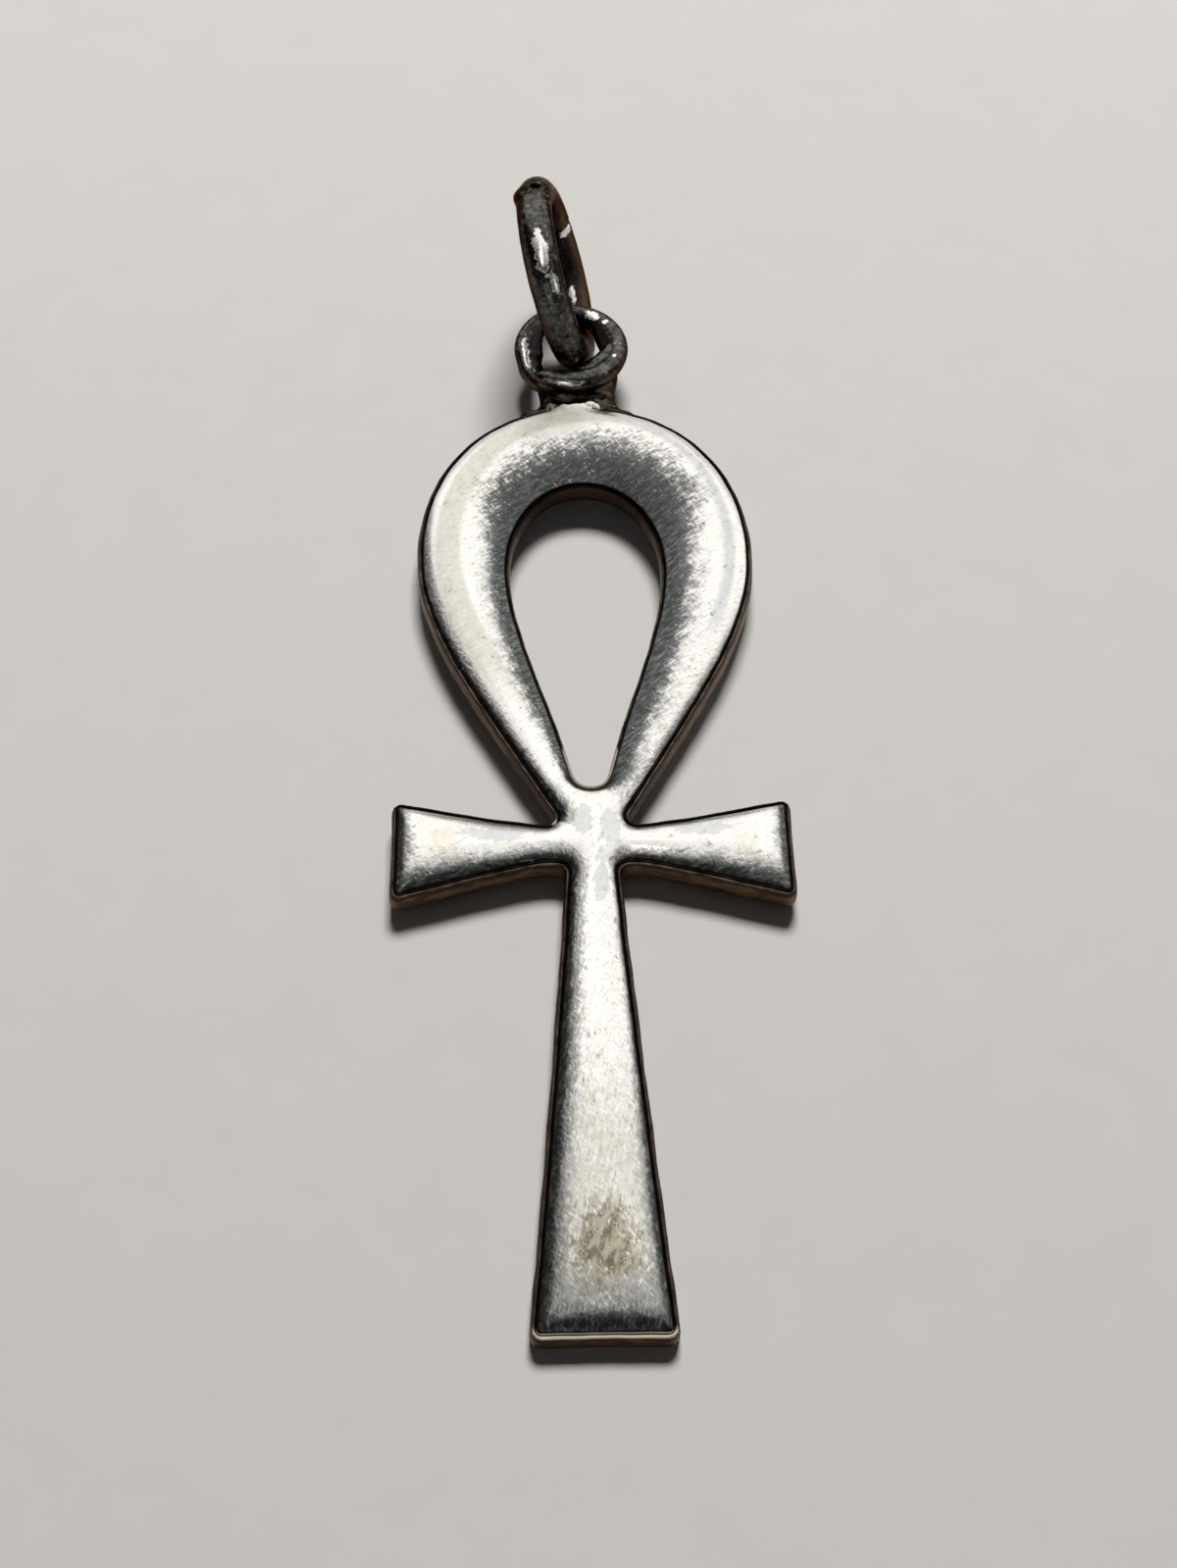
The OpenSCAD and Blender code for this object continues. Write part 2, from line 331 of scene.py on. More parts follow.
def mesh_object(bm, name, material):
    """Makes an object at the origin from a bmesh, with its place in its mesh."""
    mesh = bpy.data.meshes.new(name)
    bm.to_mesh(mesh)
    bm.free()
    mesh.materials.append(material)
    made = bpy.data.objects.new(name, mesh)
    bpy.context.scene.collection.objects.link(made)
    return made


bm = bmesh.new()
bmesh.ops.create_grid(bm, x_segments=1, y_segments=1, size=TABLE_HALF)
table = mesh_object(bm, "table", table_paint())
print("table:", [round(x, 2) for x in table.dimensions], "m")

# %% [markdown]
# ## The outline of the ankh
# The face of the ankh is a drawn shape: a teardrop loop, two flared arms and a flared stem, with small
# hollow corners between them. Each stretch below gives, for a share of its way, a point on the edge of
# the face and the crest of the crown that lies above it. The formulas and sizes are those of the solid,
# so the dressed body fits it. Here the stretches are cut much finer, and near the crossing the crest
# runs ahead smoothly, so that no crease shows where two stretches meet.

# %% Sizes of the face
ANKH_LENGTH = 49.4
ARM_SPAN = 18
CROSS_HEIGHT = 23
LOOP_WIDTH = 16.3
LOOP_WIDEST = 39.6
HOLE_WIDTH = 7.3
TOP_BAND = 5.4
HOLE_RISE = 3.2
LEG_WIDTH = 2.86
ARM_ROOT = 1.7
ARM_END = 5.2
ARM_DROOP = 0.25
STEM_WAIST = 1.9
FOOT_WIDTH = 6
CROWN = 0.75
ARMPIT_RADIUS = 0.65
CROTCH_RADIUS = 0.6
CORNER_RADIUS = 0.2
HOLE_FOOT_RADIUS = 0.86

FACE_FOOT = WALL_BULGE
FACE_TOP = ANKH_LENGTH - WALL_BULGE
FACE_ARM = ARM_SPAN / 2 - WALL_BULGE
FACE_HALF_LOOP = LOOP_WIDTH / 2 - WALL_BULGE
FACE_HALF_FOOT = FOOT_WIDTH / 2 - WALL_BULGE
FACE_HALF_END = ARM_END / 2 - WALL_BULGE
FACE_HOLE_TOP = ANKH_LENGTH - TOP_BAND + HOLE_BULGE
FACE_HOLE_FOOT = CROSS_HEIGHT + HOLE_RISE - HOLE_BULGE
FACE_HOLE_HALF = HOLE_WIDTH / 2 + HOLE_BULGE
CROSSING = Vector((0, CROSS_HEIGHT))
print(f"the face is {FACE_TOP - FACE_FOOT:.1f} mm long, and its hole is {2 * FACE_HOLE_HALF:.2f} mm wide")

# %% [markdown]
# ## Curves of the outline
# A few blends between points draw every curve here. The stem and the arms flare slowly at first and then
# faster, so their width follows a power of the way along. Each side of the loop is a leg that swings out to
# the widest place, and from there a quarter of a slightly squared oval closes it at the top.

# %% Curves
STEM_FLARE = 1.14
ARM_FLARE = 1.15
LEG_PULL = 0.43
SIDE_PULL = 0.29


def mix(a, b, t):
    return a * (1 - t) + b * t


def ease(t):
    """Goes from 0 to 1 with a soft start and a soft end."""
    t = min(1, max(0, t))
    return t * t * (3 - 2 * t)


def bend(a, b, c, t):
    return mix(mix(a, b, t), mix(b, c, t), t)


def curve(a, b, c, d, t):
    return mix(bend(a, b, c, t), bend(b, c, d, t), t)


def at_angle(angle):
    return Vector((math.cos(math.radians(angle)), math.sin(math.radians(angle))))


def teardrop(place, foot, leg_angle, side, top, fullness):
    """One side of the loop: a place of 0 is its foot, 1 its widest place and 2 its top."""
    rise = side.y - foot.y
    if place < 1:
        leg = foot + Vector((math.tan(math.radians(leg_angle)), 1)) * rise * LEG_PULL
        return curve(foot, leg, side - Vector((0, rise * SIDE_PULL)), side, place)
    way, power = at_angle((place - 1) * 90), 2 / fullness
    return Vector((side.x * max(0, way.x) ** power, side.y + (top - side.y) * way.y ** power))


STEM_TOP = CROSS_HEIGHT - ARM_ROOT / 2
STEM_END = STEM_TOP - ARMPIT_RADIUS
ARM_START = max(STEM_WAIST / 2 + ARMPIT_RADIUS, LEG_WIDTH / 2 + CROTCH_RADIUS) + 0.15
LEG_ANGLE = 29
HOLE_LEG_ANGLE = 14.5
LOOP_SIDE = Vector((FACE_HALF_LOOP, LOOP_WIDEST))
HOLE_SIDE = Vector((FACE_HOLE_HALF, LOOP_WIDEST - 0.7))
LOOP_FULLNESS = 2.15
HOLE_FULLNESS = 2
# How far across the loop its crest lies, and by what place the crest has left the crossing.
CREST_SHARE = 0.42
LOOP_CREST_FROM = 0.22
CROTCH_CENTER = Vector((LEG_WIDTH / 2 + CROTCH_RADIUS, CROSS_HEIGHT + ARM_ROOT / 2 + CROTCH_RADIUS))
LEG_FOOT = CROTCH_CENTER + CROTCH_RADIUS * at_angle(180 - LEG_ANGLE)
HOLE_CORNER = HOLE_FOOT_RADIUS + HOLE_BULGE
HOLE_LEG_FOOT = Vector((HOLE_CORNER, FACE_HOLE_FOOT + HOLE_CORNER * 1.1))


def stem_half(y):
    """Half the width of the stem's face."""
    return mix(STEM_WAIST / 2, FACE_HALF_FOOT, ((STEM_TOP - y) / (STEM_TOP - FACE_FOOT)) ** STEM_FLARE)


def arm_share(x):
    return max(0, (x - ARM_START) / (FACE_ARM - ARM_START))


def arm_middle(x):
    return CROSS_HEIGHT - ARM_DROOP * arm_share(x)


def arm_half(x):
    return mix(ARM_ROOT / 2, FACE_HALF_END, arm_share(x) ** ARM_FLARE)


def outer_edge(place):
    return teardrop(place, LEG_FOOT, LEG_ANGLE, LOOP_SIDE, FACE_TOP, LOOP_FULLNESS)


def hole_edge(place):
    return teardrop(place, HOLE_LEG_FOOT, HOLE_LEG_ANGLE, HOLE_SIDE, FACE_HOLE_TOP, HOLE_FULLNESS)


def loop_crest(place):
    """The crest of the loop: it leaves the crossing, and then keeps to its share of the way across."""
    on_share = mix(outer_edge(place), hole_edge(place), CREST_SHARE)
    return mix(CROSSING, on_share, ease(place / LOOP_CREST_FROM))


print("widest place of the loop:", [round(x, 2) for x in outer_edge(1)])

# %% [markdown]
# ## Rows across the metal
# A row is a cut across the metal at one place of the outline. It holds the edge of the face, the point on
# the crest that its cut runs to, and the way that is outward. Half of the outline is enough, because the
# ankh is the same on both sides and bmesh can mirror it. A cast and filed edge is never quite true, so
# each edge also wanders by a few hundredths of a millimetre.

# %% Rows of the outer outline and of the hole
Row = namedtuple("Row", "edge crest out")
ROW_STEP = 0.12
END_INSET = 1.1
FOOT_CREST = Vector((0, FACE_FOOT + END_INSET))
ARM_CREST_END = FACE_ARM - END_INSET
EDGE_WANDER = 0.025
ARMPIT_ARC = (170, 85)
# The share of an arm from which its crest runs straight, and of the stem until which it does.
ARM_CREST_FROM = 0.3
STEM_CREST_UNTIL = 0.86


def wobble(point, scale, seed):
    """A soft random number from -1 to 1 for a place, always the same for the same seed."""
    return noise.noise(Vector((point.x * scale, point.y * scale, seed * 7.31)))


def stretch(length, make_row):
    """Edge and crest along one stretch of the outline, without its end, which starts the next stretch."""
    cuts = max(2, round(length / ROW_STEP))
    return [make_row(i / cuts) for i in range(cuts)]


def foot_row(t):
    return Vector(((FACE_HALF_FOOT - CORNER_RADIUS) * t, FACE_FOOT)), FOOT_CREST


def foot_corner_row(t):
    edge = bend(Vector((FACE_HALF_FOOT - CORNER_RADIUS, FACE_FOOT)), Vector((FACE_HALF_FOOT, FACE_FOOT)),
                Vector((stem_half(FACE_FOOT + CORNER_RADIUS), FACE_FOOT + CORNER_RADIUS)), t)
    return edge, FOOT_CREST


def stem_row(t):
    y = mix(FACE_FOOT + CORNER_RADIUS, STEM_END, t)
    to_crossing = ease((t - STEM_CREST_UNTIL) / (1 - STEM_CREST_UNTIL))
    crest_y = mix(max(y, FOOT_CREST.y), CROSS_HEIGHT, to_crossing)
    return Vector((stem_half(y), y)), Vector((0, crest_y))


def armpit_row(t):
    center = Vector((stem_half(STEM_END) + ARMPIT_RADIUS, STEM_END))
    return center + ARMPIT_RADIUS * at_angle(mix(*ARMPIT_ARC, t)), CROSSING


def arm_row(side, t):
    x = mix(ARM_START, FACE_ARM - CORNER_RADIUS, t)
    crest_x = mix(0, min(x, ARM_CREST_END), ease(t / ARM_CREST_FROM))
    return Vector((x, arm_middle(x) + side * arm_half(x))), Vector((crest_x, arm_middle(crest_x)))


def arm_end_row(t):
    half = FACE_HALF_END - CORNER_RADIUS
    return (Vector((FACE_ARM, arm_middle(FACE_ARM) + mix(-half, half, t))),
            Vector((ARM_CREST_END, arm_middle(ARM_CREST_END))))


def arm_corner_row(side, t):
    corner = Vector((FACE_ARM, arm_middle(FACE_ARM) + side * FACE_HALF_END))
    along, end = arm_row(side, 1)[0], arm_end_row((1 + side) / 2)[0]
    return bend(along, corner, end, t if side < 0 else 1 - t), arm_end_row(0)[1]


def crotch_row(t):
    return CROTCH_CENTER + CROTCH_RADIUS * at_angle(mix(270, 180 - LEG_ANGLE, t)), CROSSING


def loop_row(place):
    return outer_edge(place), loop_crest(place)


def hole_foot_row(t):
    corner = Vector((HOLE_LEG_FOOT.x * 0.8, FACE_HOLE_FOOT))
    return bend(Vector((0, FACE_HOLE_FOOT)), corner, HOLE_LEG_FOOT, t), CROSSING


def hole_row(place):
    return hole_edge(place), loop_crest(place)


def rows_from(pairs):
    """Rows with their outward directions. The first and the last lie on the middle line."""
    flip = Vector((-1, 1))
    edges = [pairs[1][0] * flip] + [edge for edge, crest in pairs] + [pairs[-2][0] * flip]
    outs = [Vector(((b - a).y, -(b - a).x)).normalized() for a, b in zip(edges, edges[2:])]
    return [Row(edge + out * EDGE_WANDER * wobble(edge, 1.1, 1), crest, out)
            for (edge, crest), out in zip(pairs, outs)]


# About how long each stretch is, in mm, which sets how many rows it gets.
FOOT_LENGTH = 2.5
CORNER_LENGTH = 0.4
STEM_LENGTH = 20.5
ARMPIT_LENGTH = 1
ARM_LENGTH = 6.5
ARM_END_LENGTH = 4.2
CROTCH_LENGTH = 1.3
LOOP_LENGTH = 30
HOLE_FOOT_LENGTH = 1.6
outer_rows = rows_from(
    stretch(FOOT_LENGTH, foot_row)
    + stretch(CORNER_LENGTH, foot_corner_row)
    + stretch(STEM_LENGTH, stem_row)
    + stretch(ARMPIT_LENGTH, armpit_row)
    + stretch(ARM_LENGTH, lambda t: arm_row(-1, t))
    + stretch(CORNER_LENGTH, lambda t: arm_corner_row(-1, t))
    + stretch(ARM_END_LENGTH, arm_end_row)
    + stretch(CORNER_LENGTH, lambda t: arm_corner_row(1, t))
    + stretch(ARM_LENGTH, lambda t: arm_row(1, 1 - t))
    + stretch(CROTCH_LENGTH, crotch_row)
    + stretch(LOOP_LENGTH, lambda t: loop_row(2 * t))
    + [loop_row(2)])
hole_rows = rows_from(
    stretch(HOLE_FOOT_LENGTH, hole_foot_row)
    + stretch(LOOP_LENGTH, lambda t: hole_row(2 * t))
    + [hole_row(2)])
print(len(outer_rows), "rows round half of the outline,", len(hole_rows), "round half of the hole")

# %% [markdown]
# ## The section of the metal
# Every row has the same stations, from the back round the wall to the crest. The wall bulges, and at its
# top a thin rounded lip runs round the face. Between lip and crown lies a fine groove, which holds dark
# tarnish on the real pendant. The stations lie close together where the metal turns sharply. A station
# has its zone, its share of the way across (on the wall, of the bulge) and its share of the wall's height.

# %% Stations of the section
Station = namedtuple("Station", "zone share height")
BACK, WALL, FACE = 0, 1, 2
BACK_SHARE = FOOT_INSET - 0.12
BULGE_WANDER = 0.12
stations = (
    [Station(BACK, t, 0) for t in (0, 0.5, 0.85)]
    + [Station(WALL, out, height) for out, height in (
        (BACK_SHARE, 0), (FOOT_INSET, 0.02), (0.87, 0.09), (1, 0.2), (1.02, 0.34), (1, 0.5),
        (0.96, 0.66), (0.9, 0.78), (0.8, 0.88), (0.66, 0.945), (0.5, 0.965), (0.36, 0.95), (0.24, 0.905),
        (0.14, 0.885), (0.05, 0.91))]
    + [Station(FACE, t, 0) for t in (
        0, 0.02, 0.045, 0.08, 0.12, 0.165, 0.215, 0.27, 0.33, 0.395, 0.465, 0.54, 0.62, 0.7, 0.78, 0.86,
        0.93, 1)])


def section_point(row, bulge, station):
    """The place of one station of one row, in millimetres, on the flat ankh, with the face still level."""
    reach = bulge * (1 + BULGE_WANDER * wobble(row.edge, 0.7, 2))
    if station.zone == WALL:
        spot = row.edge + row.out * reach * station.share
        return Vector((spot.x, spot.y, WALL_HEIGHT * station.height))
    if station.zone == BACK:
        return mix(row.crest, row.edge + row.out * reach * BACK_SHARE, station.share).to_3d()
    return mix(row.edge, row.crest, station.share).to_3d() + Vector((0, 0, WALL_HEIGHT))


print(len(stations), "stations from the back to the crest")

# %% [markdown]
# ## Sweeping the section round the outline
# The section is a chain of edges. Extruding the chain once for each row, and moving the new vertices to
# the row's places, skins the whole wall, face and back in one go. Each vertex keeps the number of its
# station through the extrusions, because bmesh copies a vertex's layers with it. Further layers keep what
# the tarnish, the painted shade and the painted highlights need later: the zone, the way along the outline,
# and which way the outline faces. Off the face, a place counts as lying on its own rim and far from the
# other. The next cell measures the face.

# %% Skin of the cast body
FAR_AWAY = 9
SAME_PLACE = 0.0005
SHORTEST_EDGE = 0.0002


def sweep(bm, chain, steps, put):
    """Extrudes a chain of edges once for each step; put(vertex, step) moves a new vertex to its place."""
    for step in steps:
        made = bmesh.ops.extrude_edge_only(bm, edges=chain)["geom"]
        fresh = {g for g in made if isinstance(g, bmesh.types.BMVert)}
        for vertex in fresh:
            put(vertex, step)
        chain = [g for g in made if isinstance(g, bmesh.types.BMEdge) and all(v in fresh for v in g.verts)]
    return chain


def skin(bm, rows, bulge, own_rim, layers):
    """Skins one outline of the ankh. Its first and last rows lie on the middle line."""
    ways = [0]
    for before, after in zip(rows, rows[1:]):
        ways.append(ways[-1] + (after.edge - before.edge).length)

    def put(vertex, i):
        station = stations[vertex[layers["station"]]]
        vertex.co = section_point(rows[i], bulge, station)
        vertex[layers["from_outer"]] = FAR_AWAY
        vertex[layers["from_hole"]] = FAR_AWAY
        vertex[layers[own_rim]] = 0
        vertex[layers["zone"]] = station.zone + station.height
        vertex[layers["along"]] = ways[i]
        vertex[layers["facing"]] = -rows[i].out.y

    chain = [bm.verts.new() for _ in stations]
    for i, vertex in enumerate(chain):
        vertex[layers["station"]] = i
        put(vertex, 0)
    sweep(bm, [bm.edges.new(pair) for pair in zip(chain, chain[1:])], range(1, len(rows)), put)


bm = bmesh.new()
names = ("from_outer", "from_hole", "zone", "along", "facing")
layers = {name: bm.verts.layers.float.new(name) for name in names}
layers["station"] = bm.verts.layers.int.new("station")
skin(bm, outer_rows, WALL_BULGE, "from_outer", layers)
skin(bm, hole_rows, -HOLE_BULGE, "from_hole", layers)
bmesh.ops.remove_doubles(bm, verts=bm.verts, dist=SAME_PLACE)
bmesh.ops.mirror(bm, geom=bm.verts[:] + bm.edges[:] + bm.faces[:], axis="X", merge_dist=SAME_PLACE)
bmesh.ops.remove_doubles(bm, verts=bm.verts, dist=SAME_PLACE)
bmesh.ops.dissolve_degenerate(bm, dist=SHORTEST_EDGE, edges=bm.edges)
bmesh.ops.recalc_face_normals(bm, faces=bm.faces)
for vertex in bm.verts:
    if vertex.co.x < 0:
        vertex[layers["along"]] *= -1
open_edges = [e for e in bm.edges if not e.is_manifold]
print(f"skin: {len(bm.faces)} faces, {len(open_edges)} open edges, {bm.calc_volume():.0f} cubic mm")

# %% [markdown]
# ## The crown
# The face swells like a pillow: it rises from every edge and levels off toward the middle of the metal,
# with no crease where the arms, the stem and the loop meet. A soft distance does this. It adds up the
# nearness of all the short pieces of the outline, each in closed form, so that close to one edge it is
# the distance from that edge, and in the middle of a band the two edges blend. Where the neck is soldered
# on, solder has run over the edge and fills its slope. The plain distances from the outer rim and from the
# hole's rim are kept in the mesh for the tarnish and the painted shade.

# %% Pillow of the face
CROWN_LIMIT = 0.93
CROWN_REACH = 1.12
HOLE_WEIGHT = 2.6
SOLDER_AT = Vector((-0.45, FACE_TOP))
SOLDER_FILL = 0.3
SOLDER_WIDE = 1.5
SOLDER_DEEP = 1.1
SOLDER_OVER = 0.14
# How many points are measured at a time, to save memory.
CHUNK = 1500


def rim(rows):
    """The short straight pieces of an outline, on both sides of the ankh, as starts and ends."""
    edges = numpy.array([row.edge for row in rows])
    starts, ends = edges[:-1], edges[1:]
    flip = numpy.array([-1, 1])
    return numpy.concatenate([starts, starts * flip]), numpy.concatenate([ends, ends * flip])


def soft_distance(points, starts, ends, weights):
    """How far each point lies from a rim, blended softly between the rim's sides. A weight above 1
    makes a side seem nearer, so that the crest moves away from it."""
    ways = ends - starts
    lengths = numpy.linalg.norm(ways, axis=1)
    ways = ways / lengths[:, None]
    found = numpy.zeros(len(points))
    for first in range(0, len(points), CHUNK):
        away = points[first:first + CHUNK, None, :] - starts
        along = numpy.einsum("ijk,jk->ij", away, ways)
        aside = numpy.abs(away[..., 0] * ways[:, 1] - away[..., 1] * ways[:, 0]) ** 2 + 1e-10
        nearness = ((lengths - along) / numpy.sqrt((lengths - along) ** 2 + aside)
                    + along / numpy.sqrt(along ** 2 + aside)) / aside
        found[first:first + CHUNK] = numpy.sqrt(2 / (nearness * weights).sum(axis=1))
    return found


def rim_distance(points, starts, ends):
    """How far each point lies from the nearest piece of a rim."""
    ways = ends - starts
    squares = (ways ** 2).sum(axis=1)
    found = numpy.zeros(len(points))
    for first in range(0, len(points), CHUNK):
        away = points[first:first + CHUNK, None, :] - starts
        share = numpy.clip((away * ways).sum(axis=2) / squares, 0, 1)
        gap = away - share[..., None] * ways
        found[first:first + CHUNK] = numpy.sqrt((gap ** 2).sum(axis=2).min(axis=1))
    return found


def hump(away, reach):
    """1 at the middle of a place, and soft toward 0 beyond its reach."""
    return math.exp(-(away / reach) ** 2)


def solder_fill(x, y):
    """How much solder has run over the edge of the loop here: 1 in its middle, 0 away from it."""
    return hump(x - SOLDER_AT.x, SOLDER_WIDE) ** 2 * hump(y - SOLDER_AT.y, SOLDER_DEEP)


face = [v for v in bm.verts if v[layers["zone"]] == FACE]
spots = numpy.array([v.co.to_2d() for v in face])
for name, rows in (("from_outer", outer_rows), ("from_hole", hole_rows)):
    for vertex, away in zip(face, rim_distance(spots, *rim(rows))):
        vertex[layers[name]] = away
rims = [numpy.concatenate(sides) for sides in zip(rim(outer_rows), rim(hole_rows))]
side_weights = numpy.repeat([1, HOLE_WEIGHT], [2 * len(outer_rows) - 2, 2 * len(hole_rows) - 2])
depths = soft_distance(spots, *rims, side_weights)
for vertex, depth in zip(face, depths):
    level = math.exp(-depth / CROWN_REACH)
    vertex.co.z += CROWN_LIMIT * (1 - level) + SOLDER_FILL * level * solder_fill(vertex.co.x, vertex.co.y)
crown_height = max(vertex.co.z for vertex in face) - WALL_HEIGHT
print(f"{len(face)} vertices on the face, and the crown is {crown_height:.3f} mm high")

# %% [markdown]
# ## Wear in the metal itself
# The crown of an old casting isn't a perfect curve. It has low swells left by filing, faint dents from
# years of knocks, and a few casting pits, which catch the light as sparks. Bump alone would not bend the
# broad reflections, so these are made by moving the vertices of the face.

# %% Swells, dents and pits
SWELL = 0.013
DENT_COUNT = 70
DENT_RADIUS = (0.12, 0.4)
DENT_DEPTH = (0.002, 0.005)
# How deep under the rim the wear begins, and over what depth it grows.
CALM_RIM = 0.1
CALM_FADE = 0.5
# Pits that show in the picture: X, Y on the flat ankh, radius and depth, all in mm.
PITS = [
    (0.17, 13.1, 0.12, 0.02), (0.75, 13.1, 0.1, 0.016), (1.15, 10.0, 0.15, 0.02), (-0.9, 8.6, 0.12, 0.02),
    (-1.38, 8.3, 0.1, 0.016), (1.33, 11.5, 0.1, 0.014), (-0.83, 16.6, 0.1, 0.014),
    (-4.58, 39.8, 0.12, 0.02), (-4.34, 36.3, 0.12, 0.02), (0.97, 26.9, 0.12, 0.02),
    (-5.22, 22.1, 0.12, 0.02), (-7.86, 22.6, 0.1, 0.014), (0.57, 3.8, 0.13, 0.02),
    (-0.49, 5.2, 0.12, 0.014), (-1.04, 1.1, 0.1, 0.014), (0.35, 2.7, 0.13, 0.016), (1.1, 1.9, 0.12, 0.016)]

chance = random.Random(11)
dents = list(PITS)
for _ in range(DENT_COUNT):
    spot = chance.choice(face).co
    dents.append((spot.x, spot.y, chance.uniform(*DENT_RADIUS), chance.uniform(*DENT_DEPTH)))

for vertex, depth in zip(face, depths):
    fade = ease((depth - CALM_RIM) / CALM_FADE)
    sink = SWELL * (wobble(vertex.co, 0.35, 3) + 0.4 * wobble(vertex.co, 1.1, 4)) * fade
    for x, y, radius, sunk in dents:
        away = (vertex.co.x - x) ** 2 + (vertex.co.y - y) ** 2
        if away < 6 * radius * radius:
            sink += sunk * math.exp(-away / (radius * radius)) * fade
    vertex.co.z -= sink
print(f"{len(dents)} dents and pits made")

# %% [markdown]
# ## Handing a piece over
# Each finished piece is set down in its place, shaded smooth with its hard edges kept, and given its name:
# it rides on the only body, and the solid it stands for is hidden.

# %% Finishing a piece
HARD_EDGE = math.radians(50)


def finish_piece(bm, name, node, material, place):
    """Sets a piece down in its place and hands it to the frame."""
    bmesh.ops.recalc_face_normals(bm, faces=bm.faces)
    bmesh.ops.transform(bm, matrix=place, verts=bm.verts)
    piece = mesh_object(bm, name, material)
    piece.data.shade_smooth()
    piece.data.set_sharp_from_angle(angle=HARD_EDGE)
    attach(piece, "root")
    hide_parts(node)
    triangles = sum(len(p.vertices) - 2 for p in piece.data.polygons)
    print(f"{name}: {triangles} triangles, {[round(x / MM, 2) for x in piece.dimensions]} mm")


print("pieces keep an edge hard from", round(math.degrees(HARD_EDGE)), "degrees on")

# %% [markdown]
# ## Colours of silver, its tarnish, and painted light and shade
# Bare silver is pale and mirrors its surroundings, softly where wear has made it satin. Tarnish is a thin
# dark layer that stays where nothing rubs it off: grey to black on the face and in the groove, brown on the
# walls. Several colours also paint light and shade: the grey and dark tarnish serve as painted shade on
# slopes, the satin colours as a dimmer painted reflection on the loop, the walls' brown as a painted
# reflection of a brown table, the deep brown as painted shade, the lip brown and cream silver as painted
# highlights, and solder white as two painted glints. The names below say what each colour stands for.

# %% Colours of the metal
SILVER = (0.88, 0.86, 0.81, 1)
CREAM_SILVER = (0.80, 0.75, 0.62, 1)
SATIN_AND_REFLECTION_CREAM = (0.58, 0.55, 0.46, 1)
SATIN_AND_REFLECTION_GREY = (0.54, 0.56, 0.56, 1)
PALE_TARNISH = (0.42, 0.42, 0.39, 1)
GREY_TARNISH_AND_SHADE = (0.15, 0.16, 0.155, 1)
DARK_TARNISH_AND_SHADE = (0.035, 0.038, 0.038, 1)
BROWN_TARNISH_AND_REFLECTION = (0.17, 0.105, 0.062, 1)
DEEP_BROWN = (0.05, 0.03, 0.02, 1)
BLACK_LINE = (0.012, 0.01, 0.01, 1)
OLIVE_STAIN = (0.14, 0.11, 0.06, 1)
STRAW_STAIN = (0.42, 0.38, 0.28, 1)
LIP_HIGHLIGHT_BROWN = (0.30, 0.22, 0.15, 1)
SOLDER_WHITE = (0.93, 0.91, 0.86, 1)
print(f"bare silver reflects {SILVER[0]:.0%} of the light, and its darkest tarnish {DARK_TARNISH_AND_SHADE[0]:.1%}")

# %% [markdown]
# ## Spots, scratches and bands along the rims
# Three kinds of mask come back in every paint. A spot fades out round one place, such as a stain. A scratch
# is noise that is stretched until it becomes lines. A band of tarnish and painted shade follows a rim: it
# is dark at the rim and grey further in, and noise makes its end ragged, as years of rubbing do.

# %% Masks for wear and painted shade
SCRATCH = (1.5, 0.06, 1)


def near(paint, place, x, y, reach, narrow=1.0, core=0.35):
    """1 near a place of the flat ankh and 0 beyond the reach in mm, with a soft edge. The core is the
    share of the reach that is full, and narrow is how wide the place is for its length."""
    spot = lie_down @ Vector((x, y, WALL_HEIGHT + CROWN)) / MM
    shift = paint.node("VectorMath", {"operation": "SUBTRACT"}, {0: place, 1: spot})
    shift = paint.node("VectorMath", {"operation": "MULTIPLY"}, {0: shift, 1: (1 / narrow, 1, 0.3)})
    away = paint.node("VectorMath", {"operation": "LENGTH"}, {0: shift}, output=1)
    return away.rise(reach, reach * core)


def near_any(paint, place, spots):
    """1 near any spot of a list. A spot is its X, its Y, its reach and how wide it is for its length."""
    return strongest(near(paint, place, *spot) for spot in spots)


def scratches(paint, place, runs):
    """Fine straight lines: 1 on a line, and 0 between. A run has an angle, a fineness and a rarity."""
    streaks = [(paint.noise(paint.turned(place, angle, SCRATCH), fineness, detail=2), rarity)
               for angle, fineness, rarity in runs]
    return strongest(streak.rise(rarity, rarity + 0.1) for streak, rarity in streaks)


def tarnish_and_shade_band(distance, end, dark_share, ragged, where=1):
    """Tarnish and painted shade along a rim: a grey band that thins out toward its end, and its dark inner
    part.
    """
    dark_end = end * dark_share
    grey = ((end - distance) / end + ragged * 0.9).rise(0.0, 0.75)
    dark = ((dark_end - distance) / dark_end + ragged * 0.9).rise(0.0, 0.55)
    return grey * where, dark * where


# Y on the table, in mm: where the foot's band of tarnish and painted shade starts, and the lower rim of an
# arm's root.
FOOT_LINE = -30.2
ARM_UNDERSIDE = (lie_down @ Vector((0, CROSS_HEIGHT - ARM_ROOT / 2, WALL_HEIGHT))).y / MM
print(f"on the table the foot's tarnish starts at Y {FOOT_LINE} mm,",
      f"and the lower rim of an arm's root lies at {ARM_UNDERSIDE:.2f} mm")

# %% [markdown]
# ## What the masks of the silver read
# Every mask is worked out from a few readings: where a place lies, how far it is from each rim, which way
# its stretch of the outline faces, and some noises. The finest noise is drawn out into strokes. They
# slant on the loop, run along the arms and climb the stem, as a cloth does when it rubs each part.

